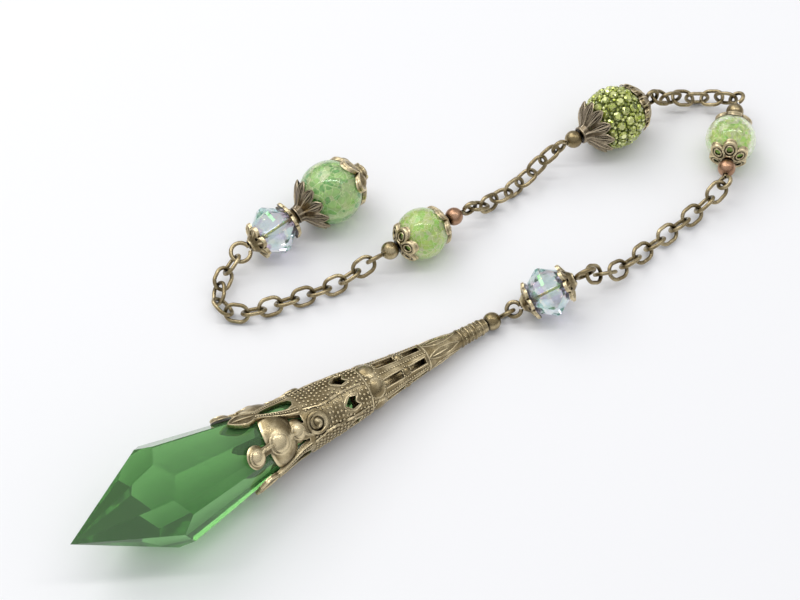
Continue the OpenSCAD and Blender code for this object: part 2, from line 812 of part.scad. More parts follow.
module crackle_1_pin() {
    color(bronze) thread(crackle_1_at, CRACKLE_1) {
        wire(-crackle_foot, crackle_foot);
        low_side() eye(crackle_foot, loop_r, CRACKLE_1_ROLLS[0]);
        eye(crackle_foot, loop_r, CRACKLE_1_ROLLS[1]);
    }
}

module chain_b() {
    color(bronze) chain(b_stations, B_ROLL);
}

module pave_bead() {
    color(dark_clay) thread(pave_at, PAVE) drilled_ball(2 * clay_r);
}

module pave_stones() {
    color(peridot) thread(pave_at, PAVE) stones();
}

module pave_leafy_cap() {
    color(bronze) thread(pave_at, PAVE) low_side() leafy_cap(pave_d);
}

module pave_ribbed_cap() {
    color(bronze) thread(pave_at, PAVE) ribbed_cap(pave_d);
}

module pave_spacer() {
    color(bronze) thread(pave_at, PAVE)
        low_side() translate([0, 0, spacer_at(pave_left_pole)]) drilled_ball(spacer_d);
}

module pave_pin() {
    color(bronze) thread(pave_at, PAVE) {
        wire(-pave_left_foot, pave_right_foot);
        low_side() eye(pave_left_foot, loop_r, PAVE_ROLLS[0]);
        eye(pave_right_foot, loop_r, PAVE_ROLLS[1]);
    }
}

module chain_c() {
    color(bronze) chain(c_stations, C_ROLL);
}

module crackle_2() {
    color(crackle_green) thread(crackle_2_at, CRACKLE_2) drilled_ball(crackle_d);
}

module crackle_2_cap_a() {
    color(bronze) thread(crackle_2_at, CRACKLE_2) low_side() petal_cap(crackle_d);
}

module crackle_2_cap_b() {
    color(bronze) thread(crackle_2_at, CRACKLE_2) petal_cap(crackle_d);
}

module crackle_2_spacer_a() {
    color(bronze) thread(crackle_2_at, CRACKLE_2)
        low_side() translate([0, 0, spacer_at(crackle_pole)]) drilled_ball(spacer_d);
}

module crackle_2_spacer_b() {
    color(copper) thread(crackle_2_at, CRACKLE_2)
        translate([0, 0, spacer_at(crackle_pole)]) drilled_ball(spacer_d);
}

module crackle_2_pin() {
    color(bronze) thread(crackle_2_at, CRACKLE_2) {
        wire(-crackle_foot, crackle_foot);
        low_side() eye(crackle_foot, loop_r, CRACKLE_2_ROLLS[0]);
        eye(crackle_foot, loop_r, CRACKLE_2_ROLLS[1]);
    }
}

module chain_d() {
    color(bronze) chain(d_stations, D_ROLL);
}

module rondelle_2() {
    color(clear_glass) thread(rondelle_2_at, END) rondelle();
}

module rondelle_2_cap_a() {
    color(bronze) thread(rondelle_2_at, END) low_side() flower_cap();
}

module rondelle_2_cap_b() {
    color(bronze) thread(rondelle_2_at, END) flower_cap();
}

module crackle_big() {
    color(deep_green) thread(big_at, END) drilled_ball(crackle_big_d);
}

module crackle_big_leafy_cap() {
    color(bronze) thread(big_at, END) low_side() leafy_cap(crackle_big_d);
}

module crackle_big_end_cap() {
    color(bronze) thread(big_at, END) end_cap(crackle_big_d);
}

module end_pin() {
    head_at = rondelle_to_big + big_end_pole + seat_gap;
    color(bronze) thread(rondelle_2_at, END) {
        wire(-rondelle_foot, head_at + head_t);
        translate([0, 0, head_at]) cylinder(h = head_t, d = head_d);
        low_side() eye(rondelle_foot, big_loop_r, END_ROLL);
    }
}

crystal_point();
filigree_cone();
cone_ball();
cone_pin();
rondelle_1();
rondelle_1_cap_a();
rondelle_1_cap_b();
rondelle_1_pin();
chain_a();
crackle_1();
crackle_1_cap_a();
crackle_1_cap_b();
crackle_1_spacer_a();
crackle_1_spacer_b();
crackle_1_pin();
chain_b();
pave_bead();
pave_stones();
pave_leafy_cap();
pave_ribbed_cap();
pave_spacer();
pave_pin();
chain_c();
crackle_2();
crackle_2_cap_a();
crackle_2_cap_b();
crackle_2_spacer_a();
crackle_2_spacer_b();
crackle_2_pin();
chain_d();
rondelle_2();
rondelle_2_cap_a();
rondelle_2_cap_b();
crackle_big();
crackle_big_leafy_cap();
crackle_big_end_cap();
end_pin();
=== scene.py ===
"""Dresses the pendulum pendant: cut and crackle glass, antique bronze with raised ornament, and a studio."""

import logging
import math
import random
from collections.abc import Iterable, Sequence
from dataclasses import dataclass
from enum import Enum

import bmesh
import bpy
from mathutils import Matrix, Vector


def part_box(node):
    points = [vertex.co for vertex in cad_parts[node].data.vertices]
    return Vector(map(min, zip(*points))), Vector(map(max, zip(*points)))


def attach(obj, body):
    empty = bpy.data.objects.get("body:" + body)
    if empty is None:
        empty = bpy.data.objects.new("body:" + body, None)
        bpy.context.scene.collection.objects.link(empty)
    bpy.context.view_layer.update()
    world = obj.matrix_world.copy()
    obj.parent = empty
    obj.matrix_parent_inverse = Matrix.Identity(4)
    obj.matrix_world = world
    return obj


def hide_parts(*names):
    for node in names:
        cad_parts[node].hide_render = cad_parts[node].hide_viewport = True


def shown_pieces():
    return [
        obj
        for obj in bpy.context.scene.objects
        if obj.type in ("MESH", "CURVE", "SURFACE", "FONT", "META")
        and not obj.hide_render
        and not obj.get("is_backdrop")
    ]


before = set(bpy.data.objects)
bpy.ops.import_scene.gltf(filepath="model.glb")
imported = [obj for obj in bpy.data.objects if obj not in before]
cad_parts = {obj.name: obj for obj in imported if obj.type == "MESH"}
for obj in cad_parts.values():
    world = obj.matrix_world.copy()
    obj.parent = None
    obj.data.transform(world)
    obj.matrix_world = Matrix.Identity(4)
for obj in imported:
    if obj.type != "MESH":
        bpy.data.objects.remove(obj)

MM = 0.001
WIRE_SIDES = 7
OPENNESS_SAMPLES = 6
ROOT = "root"

log = logging.getLogger("pendulum")

Colour = tuple[float, float, float]
Row = tuple[float, float]
Triple = tuple[float, float, float]
Socket = bpy.types.NodeSocket
Input = Socket | Colour | float


class Slot(Enum):
    """The record's material slots that new pieces belong to."""

    CRACKLE = "crackle_glass"
    DEEP_CRACKLE = "deep_crackle_glass"
    STONES = "peridot_stones"
    BRONZE = "bronze"
    DARK_BRONZE = "dark_bronze"
    COPPER = "copper_bronze"


class End(Enum):
    """Which end of a threaded bead a cap sits on, as a sign along the pin."""

    LOW = -1
    HIGH = 1


# Finishes


class Shader:
    """A material's node tree, with short calls for the nodes that the finishes share."""

    def __init__(self, name: str) -> None:
        """Starts an empty material of that name."""
        self.material = bpy.data.materials.new(name)
        self.material.use_nodes = True
        self.nodes = self.material.node_tree.nodes
        self.links = self.material.node_tree.links
        self.nodes.clear()
        self.output = self.add("OutputMaterial")
        self.surface = self.add("BsdfPrincipled")
        self.links.new(self.surface.outputs["BSDF"], self.output.inputs["Surface"])
        self.place = self.add("TexCoord").outputs["Object"]

    def give(self, socket: Socket, value: Input) -> None:
        """Links an input to another socket, or sets it to a number or a colour."""
        if isinstance(value, Socket):
            self.links.new(value, socket)
        else:
            socket.default_value = (*value, 1.0) if isinstance(value, tuple) else value

    def add(self, kind: str, **values: Input) -> bpy.types.Node:
        """Adds a node and gives its inputs; an underscore in a name stands for a space."""
        node = self.nodes.new(f"ShaderNode{kind}")
        for name, value in values.items():
            self.give(node.inputs[name.replace("_", " ")], value)
        return node

    def set(self, **values: Input) -> None:
        """Gives the surface shader's inputs; an underscore in a name stands for a space."""
        for name, value in values.items():
            self.give(self.surface.inputs[name.replace("_", " ")], value)

    def noise(self, scale: float, detail: float = 3.0, roughness: float = 0.6) -> Socket:
        """A noise pattern on the piece's own coordinates, with that many patches to the metre."""
        node = self.add("TexNoise", Vector=self.place, Scale=scale, Detail=detail, Roughness=roughness)
        return node.outputs[0]

    def crazing(self, scale: float, wander: float) -> bpy.types.Node:
        """A net of cells whose borders wander.

        Args:
            scale: how many cells to the metre.
            wander: how far the borders stray from straight, in metres.

        Returns:
            The cell texture's node.
        """
        stray = self.add("TexNoise", Vector=self.place, Scale=scale * 0.8, Detail=3.0)
        shift = self.add("VectorMath")
        shift.operation = "MULTIPLY_ADD"
        shift.inputs[1].default_value = (wander, wander, wander)
        self.links.new(stray.outputs["Color"], shift.inputs[0])
        self.links.new(self.place, shift.inputs[2])
        return self.add("TexVoronoi", Vector=shift.outputs["Vector"], Scale=scale)

    def cracks(self, scale: float, wander: float) -> Socket:
        """Distance to the nearest crack of such a net, 0 on a crack."""
        net = self.crazing(scale, wander)
        net.feature = "DISTANCE_TO_EDGE"
        return net.outputs["Distance"]

    def cells(self, scale: float, wander: float) -> Socket:
        """A tone for each cell of such a net, from 0 to 1."""
        return self.add("RGBToBW", Color=self.crazing(scale, wander).outputs["Color"]).outputs["Val"]

    def ramp(self, socket: Socket, stops: Sequence[tuple[float, Colour]]) -> Socket:
        """Colours a factor.

        Args:
            socket: the factor.
            stops: places from 0 to 1 and their colours.

        Returns:
            The colour socket.
        """
        node = self.add("ValToRGB", Fac=socket)
        marks = node.color_ramp.elements
        while len(marks) < len(stops):
            marks.new(0.5)
        for mark, (place, colour) in zip(marks, stops):
            mark.position = place
            mark.color = (*colour, 1.0)
        return node.outputs["Color"]

    def span(self, socket: Socket, low: float, high: float, at_low: float, at_high: float) -> Socket:
        """Maps a value from one range to another, held within it.

        Args:
            socket: the value.
            low: the lower end of its range.
            high: the upper end of its range.
            at_low: the result at the lower end.
            at_high: the result at the upper end.

        Returns:
            The mapped socket.
        """
        node = self.add("MapRange", Value=socket, From_Min=low, From_Max=high, To_Min=at_low, To_Max=at_high)
        return node.outputs["Result"]

    def blend(self, factor: Socket, a: Socket | Colour, b: Socket | Colour) -> Socket:
        """Mixes two colours.

        Args:
            factor: 0 for the first, 1 for the second.
            a: the first colour, or its socket.
            b: the second colour, or its socket.

        Returns:
            The mixed colour socket.
        """
        node = self.add("Mix")
        node.data_type = "RGBA"
        for index, value in ((0, factor), (6, a), (7, b)):
            self.give(node.inputs[index], value)
        return node.outputs[2]

    def openness(self, reach: float, inside: bool = False) -> Socket:
        """How open the space within reach is, about a point, or within the solid where inside is set."""
        node = self.add("AmbientOcclusion", Distance=reach)
        node.samples = OPENNESS_SAMPLES
        node.inside = inside
        return node.outputs["AO"]

    def bump(self, height: Socket, depth: float, strength: float) -> None:
        """Raises the surface by a height pattern, whose full height is the depth in metres."""
        self.set(Normal=self.add("Bump", Height=height, Distance=depth, Strength=strength).outputs["Normal"])

    def absorb(self, colour: Colour, density: float) -> None:
        """Colours what passes through the piece, more the longer its way; the density is per metre."""
        volume = self.add("VolumeAbsorption", Color=colour, Density=density)
        self.links.new(volume.outputs["Volume"], self.output.inputs["Volume"])


def toned(colour: Colour, times: float, plus: float = 0.0) -> Colour:
    """A colour scaled and lifted, held under full white."""
    return tuple(min(1.0, times * c + plus) for c in colour)


@dataclass(frozen=True)
class Finish:
    """A procedural material under its own name."""

    name: str

    def build(self) -> bpy.types.Material:
        """Makes the material."""
        shader = Shader(self.name)
        self.paint(shader)
        return shader.material

    def paint(self, shader: Shader) -> None:
        """Gives the shader its looks; each kind of finish has its own way."""
        raise NotImplementedError


@dataclass(frozen=True)
class AntiqueMetal(Finish):
    """Plated metal, dark in its recesses and close to other parts, partly from patina and partly as painted shade,
    and worn bright on what stands out.
    """

    # The dark colour of the hollows and of places close to other parts: partly patina, partly painted shade.
    hollow_patina_and_shade: Colour
    body: Colour
    worn: Colour
    roughness: Row = (0.2, 0.4)
    patina_and_shade_reach: float = 1.1 * MM
    edge_reach: float = 0.24 * MM
    patch_scale: float = 420.0
    grain_scale: float = 5200.0
    grain_depth: float = 0.03 * MM

    def paint(self, shader: Shader) -> None:
        """Lays a dark colour in the recesses and close to other parts, partly patina and partly painted shade, bare
        metal on the edges and a fine grain over all.
        """
        shader.set(Metallic=1.0, IOR=1.5)
        edges = shader.span(shader.openness(self.edge_reach, True), 0.45, 0.9, 1.0, 0.0)
        patches = shader.noise(self.patch_scale, 4.0)
        rubbed = shader.blend(shader.span(patches, 0.45, 0.72, 0.0, 0.7), self.body, self.worn)
        patina = shader.blend(edges, rubbed, self.worn)
        # Painted shade as well as patina: the dark colour goes wherever other surfaces lie within reach, including
        # other parts and the floor.
        lit = shader.span(shader.openness(self.patina_and_shade_reach), 0.4, 0.96, 0.0, 1.0)
        shader.set(Base_Color=shader.blend(lit, self.hollow_patina_and_shade, patina))
        grain = shader.noise(self.grain_scale, 3.0, 0.7)
        shader.set(Roughness=shader.span(grain, 0.3, 0.7, *self.roughness))
        shader.bump(grain, self.grain_depth, 0.6)


@dataclass(frozen=True)
class CutGlass(Finish):
    """Clear or coloured glass with polished facets."""

    tint: Colour
    through: Colour
    density: float
    ior: float
    polish: Row = (0.0, 0.03)
    film: float = 0.0
    clarity: float = 1.0

    def paint(self, shader: Shader) -> None:
        """Tints the glass, on its surface and by its depth, and polishes it."""
        shader.set(Transmission_Weight=self.clarity, IOR=self.ior)
        wear = shader.noise(900.0, 3.0)
        shader.set(Roughness=shader.span(wear, 0.35, 0.75, *self.polish))
        shader.set(Base_Color=shader.blend(shader.noise(160.0, 2.0), self.tint, toned(self.tint, 1.04)))
        if self.film:
            shader.set(Thin_Film_Thickness=self.film, Thin_Film_IOR=2.1)
        if self.density:
            shader.absorb(self.through, self.density)


@dataclass(frozen=True)
class CrackleGlass(Finish):
    """The polished skin of a crackle bead: clear coloured glass, faintly veined where cracks reach it."""

    tint: Colour
    through: Colour
    density: float
    cell_scale: float = 520.0
    wander: float = 1.1 * MM

    def paint(self, shader: Shader) -> None:
        """Lays a faint net of cracks on clear tinted glass."""
        shader.set(Transmission_Weight=1.0, IOR=1.12, Coat_Weight=1.0, Coat_Roughness=0.02)
        distance = shader.cracks(self.cell_scale, self.wander)
        vein = shader.span(distance, 0.0, 0.09, 1.0, 0.0)
        shader.set(Base_Color=shader.blend(vein, self.tint, toned(self.tint, 0.5, 0.5)))
        shader.set(Roughness=shader.span(vein, 0.0, 1.0, 0.02, 0.3))
        shader.bump(shader.span(distance, 0.0, 0.12, 0.0, 1.0), 0.02 * MM, 0.1)
        shader.absorb(self.through, self.density)


@dataclass(frozen=True)
class CrazedCore(Finish):
    """The crazed glass inside a crackle bead: small cells between bright cracks, each at its own slant."""

    deep: Colour
    body: Colour
    bright: Colour
    cell_scale: float
    wander: float = 0.9 * MM

    def paint(self, shader: Shader) -> None:
        """Tones the cells one by one and whitens the cracks between them."""
        shader.set(Transmission_Weight=0.5, IOR=1.3, Specular_IOR_Level=0.8)
        tones = shader.ramp(shader.cells(self.cell_scale, self.wander),
                            ((0.22, self.deep), (0.5, self.body), (0.82, self.bright)))
        wide = shader.span(shader.cracks(self.cell_scale, self.wander), 0.0, 0.07, 1.0, 0.0)
        fine = shader.span(shader.cracks(2.3 * self.cell_scale, self.wander), 0.0, 0.05, 0.45, 0.0)
        crazed = shader.blend(fine, tones, self.bright)
        shader.set(Base_Color=shader.blend(wide, crazed, self.bright))
        shader.set(Roughness=shader.span(wide, 0.0, 1.0, 0.1, 0.3))
        shader.bump(shader.cells(self.cell_scale, self.wander), 0.3 * MM, 0.6)


@dataclass(frozen=True)
class FoiledStone(Finish):
    """Small cut stones with a mirror foil behind them; each stone's tone is its own."""

    tones: tuple[Colour, Colour, Colour, Colour]

    def paint(self, shader: Shader) -> None:
        """Gives each stone its tone and its gloss, and lifts its colour along a fine net into painted highlights that
        stand for the glints of its foil.
        """
        shader.set(Metallic=0.55, IOR=1.7, Coat_Weight=1.0, Coat_Roughness=0.02, Coat_IOR=1.7)
        island = shader.add("NewGeometry").outputs["Random Per Island"]
        tone = shader.ramp(island, tuple(zip((0.0, 0.35, 0.7, 0.95), self.tones)))
        # Painted highlights: along a fine net of lines the colour is lifted toward a bright yellow-green, standing in
        # for glints off the foil; the same lines are glossier too.
        painted_glints = shader.cracks(2600.0, 0.1 * MM)
        bright = toned(self.tones[2], 1.6, 0.25)
        shader.set(Base_Color=shader.blend(shader.span(painted_glints, 0.0, 0.1, 0.5, 0.0), tone, bright))
        shader.set(Roughness=shader.span(painted_glints, 0.0, 0.3, 0.04, 0.14))


@dataclass(frozen=True)
class MattClay(Finish):
    """Dark clay that holds the set stones."""

    colour: Colour

    def paint(self, shader: Shader) -> None:
        """Mottles the clay and roughens it."""
        grain = shader.noise(2400.0, 4.0, 0.7)
        shader.set(Base_Color=shader.blend(grain, toned(self.colour, 0.5), self.colour))
        shader.set(Roughness=shader.span(grain, 0.3, 0.7, 0.6, 0.85))
        shader.bump(grain, 0.05 * MM, 0.8)


@dataclass(frozen=True)
class StudioPaper(Finish):
    """The plain pale surface that the pendant lies on."""

    name: str = "studio_paper"
    colour: Colour = (0.9, 0.9, 0.91)

    def paint(self, shader: Shader) -> None:
        """Gives the paper its tone and its tooth."""
        tooth = shader.noise(3200.0, 2.0)
        shader.set(Base_Color=shader.blend(tooth, toned(self.colour, 0.985), self.colour))
        shader.set(Roughness=shader.span(tooth, 0.3, 0.7, 0.55, 0.65))


# Each metal's first colour lies in its hollows and close to other parts: partly patina, partly painted shade.
BRONZE = AntiqueMetal("antique_bronze", (0.016, 0.012, 0.006), (0.25, 0.193, 0.1), (0.8, 0.67, 0.42))
DARK_BRONZE = AntiqueMetal("dark_bronze", (0.012, 0.009, 0.006), (0.12, 0.09, 0.055), (0.52, 0.43, 0.3))
COPPER_BRONZE = AntiqueMetal("copper_bronze", (0.04, 0.02, 0.01), (0.4, 0.225, 0.135), (0.66, 0.43, 0.29))
GREEN_CRYSTAL = CutGlass("green_crystal", (0.3, 0.62, 0.24), (0.2, 0.58, 0.12), 55.0, 1.47, clarity=0.82)
CLEAR_CRYSTAL = CutGlass("clear_crystal", (1.0, 1.0, 1.0), (1.0, 1.0, 1.0), 0.0, 1.5, (0.0, 0.02), 330.0, 0.9)
LIGHT_CRACKLE = CrackleGlass("light_crackle_glass", (0.99, 1.0, 0.97), (0.75, 0.97, 0.5), 4.0)
DEEP_CRACKLE = CrackleGlass("deep_crackle_glass", (0.97, 1.0, 0.95), (0.65, 0.9, 0.5), 10.0, 420.0)
LIGHT_CORE = CrazedCore("light_crazed_core", (0.5, 0.96, 0.16), (0.82, 1.0, 0.28), (0.98, 1.0, 0.66), 1700.0)
DEEP_CORE = CrazedCore("deep_crazed_core", (0.2, 0.56, 0.15), (0.55, 0.92, 0.3), (0.93, 1.0, 0.58), 900.0)
PERIDOT = FoiledStone(
    "peridot_stones",
    ((0.05, 0.07, 0.004), (0.22, 0.28, 0.015), (0.46, 0.54, 0.04), (0.88, 0.92, 0.42)),
)
CLAY = MattClay("dark_clay", (0.13, 0.16, 0.03))
PAPER = StudioPaper()


# Shaping


@dataclass(frozen=True)
class Thread:
    """The line that a piece is threaded on: local +Z runs along the pin, local +X down when level."""

    origin: Vector
    heading: float
    pitch: float

    @classmethod
    def between(cls, start: Vector, stop: Vector, origin: Vector) -> "Thread":
        """A thread through a piece's centre, its origin, along the line from start to stop."""
        run = (stop - start).normalized()
        return cls(origin, math.atan2(run.y, run.x), math.asin(run.z))

    def matrix(self) -> Matrix:
        """From millimetres along the thread to metres in the model's frame."""
        turn = Matrix.Rotation(self.heading, 4, "Z") @ Matrix.Rotation(math.pi / 2 - self.pitch, 4, "Y")
        return Matrix.Translation(self.origin) @ turn @ Matrix.Scale(MM, 4)

    def end(self, end: End) -> Matrix:
        """The same for a cap, which is drawn on the high side and mirrored to the low one."""
        return self.matrix() @ Matrix.Diagonal((1.0, 1.0, end.value, 1.0))


def edges_of(ring: Iterable[bmesh.types.BMVert]) -> list[bmesh.types.BMEdge]:
    """The edges at a bare ring's corners, in an order that is the same each run."""
    return list(dict.fromkeys(edge for vert in ring for edge in vert.link_edges))


class Piece:
    """One new piece of the object, gathered in a bmesh in millimetres."""

    def __init__(self, name: str) -> None:
        """Starts an empty piece of that name."""
        self.name = name
        self.mesh = bmesh.new()

    def ball(
        self, at: Vector, radius: float, around: int = 8, rings: int = 4,
        flat: float = 1.0, out: Vector | None = None,
    ) -> None:
        """Adds a small ball, or a button whose height is flat times its width along the direction out."""
        turn = (out or Vector((0, 0, 1))).to_track_quat("Z", "Y").to_matrix().to_4x4()
        place = Matrix.Translation(at) @ turn @ Matrix.Diagonal((1.0, 1.0, flat, 1.0))
        heights = [Vector((0.0, 0.0, radius * math.cos(math.pi * i / rings))) for i in range(rings + 1)]
        top, bottom = (self.mesh.verts.new(place @ heights[i]) for i in (0, -1))
        rows = [self.ring(radius * math.sin(math.pi * i / rings), around, place @ Matrix.Translation(heights[i]))
                for i in range(1, rings)]
        for i in range(around):
            self.mesh.faces.new((rows[0][i - 1], rows[0][i], top))
            for high, low in zip(rows, rows[1:]):
                self.mesh.faces.new((high[i - 1], low[i - 1], low[i], high[i]))
            self.mesh.faces.new((rows[-1][i], rows[-1][i - 1], bottom))

    def ring(self, radius: float, sides: int, place: Matrix) -> list[bmesh.types.BMVert]:
        """Adds a bare ring of edges and gives its corners."""
        return bmesh.ops.create_circle(self.mesh, segments=sides, radius=radius, matrix=place)["verts"]

    def tube(self, points: Sequence[Vector], radius: float, closed: bool = False, taper: float = 1.0) -> None:
        """Adds a round wire along a line of points.

        Args:
            points: the line.
            radius: the wire's radius.
            closed: whether the last point joins the first.
            taper: the radius at both ends as a share of that in the middle.
        """
        count = len(points)
        rings = []
        for i, point in enumerate(points):
            before = points[i - 1] if i or closed else point
            after = points[(i + 1) % count] if i < count - 1 or closed else point
            share = 1.0 if closed else taper + (1.0 - taper) * math.sin(math.pi * i / (count - 1))
            turn = (after - before).to_track_quat("Z", "Y").to_matrix().to_4x4()
            rings.append(edges_of(self.ring(radius * share, WIRE_SIDES, Matrix.Translation(point) @ turn)))
        pairs = list(zip(rings, rings[1:])) + ([(rings[-1], rings[0])] if closed else [])
        for low, high in pairs:
            bmesh.ops.bridge_loops(self.mesh, edges=low + high)
        if not closed:
            for ring in (rings[0], rings[-1]):
                bmesh.ops.edgeloop_fill(self.mesh, edges=ring)

    def turned(self, outline: Sequence[Vector], turns: int) -> None:
        """Turns a closed outline once round the pin, in that many faces."""
        verts = [self.mesh.verts.new(at) for at in outline]
        edges = [self.mesh.edges.new((verts[i - 1], verts[i])) for i in range(len(verts))]
        bmesh.ops.spin(self.mesh, geom=verts + edges, cent=(0.0, 0.0, 0.0), axis=(0.0, 0.0, 1.0),
                       angle=math.tau, steps=turns, use_merge=True, use_normal_flip=False)

    def finish(self, place: Matrix, finish: bpy.types.Material, slot: Slot, smooth: float = 45.0) -> bpy.types.Object:
        """Puts the piece in its place, dresses it and lets it ride.

        Args:
            place: from the piece's millimetres to the model's metres.
            finish: its material.
            slot: the record's slot that it belongs to; not used.
            smooth: edges that turn by less than this, in degrees, are shaded smooth.

        Returns:
            The finished object.
        """
        self.mesh.transform(place)
        bmesh.ops.recalc_face_normals(self.mesh, faces=self.mesh.faces)
        data = bpy.data.meshes.new(self.name)
        self.mesh.to_mesh(data)
        self.mesh.free()
        data.shade_smooth()
        data.set_sharp_from_angle(angle=math.radians(smooth))
        data.materials.append(finish)
        piece = bpy.data.objects.new(self.name, data)
        bpy.context.scene.collection.objects.link(piece)
        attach(piece, ROOT)
        return piece


def dress(node: str, finish: bpy.types.Material) -> None:
    """Gives a carried-over solid its material."""
    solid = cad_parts[node]
    if not solid.data.materials:
        solid.data.materials.append(finish)
    for place in solid.material_slots:
        place.material = finish


def middle(node: str) -> Vector:
    """The middle of a solid's box, which is the centre of a ball or a rondelle."""
    low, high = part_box(node)
    return (Vector(low) + Vector(high)) / 2


def arc(count: int) -> list[float]:
    """Evenly spaced angles round a full turn, in radians."""
    return [math.tau * i / count for i in range(count)]


def round_pin(radius: float, angle: float, height: float) -> Vector:
    """A point by its distance from the pin, its angle round it and its height along it."""
    return Vector((radius * math.cos(angle), radius * math.sin(angle), height))


def hoop(radius: float, height: float, count: int) -> list[Vector]:
    """Evenly spaced points round the pin, at one height."""
    return [round_pin(radius, a, height) for a in arc(count)]


def smooth_line(points: Sequence[Row], steps: int, closed: bool = False) -> list[Row]:
    """A rounded line through a few points.

    Args:
        points: the points chosen.
        steps: how many points between two of them.
        closed: whether it comes back to its start.

    Returns:
        The points of the rounded line.
    """
    count = len(points)
    line = []
    for i in range(count if closed else count - 1):
        a, b, c, d = (
            points[(i + k) % count] if closed else points[min(max(i + k, 0), count - 1)] for k in (-1, 0, 1, 2)
        )
        for j in range(steps):
            t = j / steps
            line.append(tuple(
                0.5 * (2 * q + (r - p) * t + (2 * p - 5 * q + 4 * r - s) * t * t + (3 * q - p - 3 * r + s) * t ** 3)
                for p, q, r, s in zip(a, b, c, d)
            ))
    return line if closed else [*line, tuple(points[-1])]


def spaced(points: Sequence[Vector], gap: float, closed: bool = False) -> Iterable[Vector]:
    """Points at an even distance along a line.

    Args:
        points: the line.
        gap: about how far apart.
        closed: whether the line comes back to its start.

    Yields:
        The points.
    """
    line = [*points, points[0]] if closed else list(points)
    lengths = [(b - a).length for a, b in zip(line, line[1:])]
    total = sum(lengths)
    count = max(1, round(total / gap))
    for k in range(count if closed else count + 1):
        left = total * k / count
        i = 0
        while i < len(lengths) - 1 and left > lengths[i]:
            left -= lengths[i]
            i += 1
        yield line[i].lerp(line[i + 1], min(1.0, left / max(lengths[i], 1e-9)))


# Crystal and cone


@dataclass
class CrystalPoint:
    """The cut crystal that hangs point down from the cone."""

    node: str = "crystal_point"

    def tip(self, away: Vector) -> Vector:
        """The crystal's point: its corner that is farthest from another place on the pendulum."""
        corners = (v.co.copy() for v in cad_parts[self.node].data.vertices)
        return max(corners, key=lambda corner: (corner - away).length)

    def build(self) -> None:
        """Dresses the crystal."""
        dress(self.node, GREEN_CRYSTAL.build())


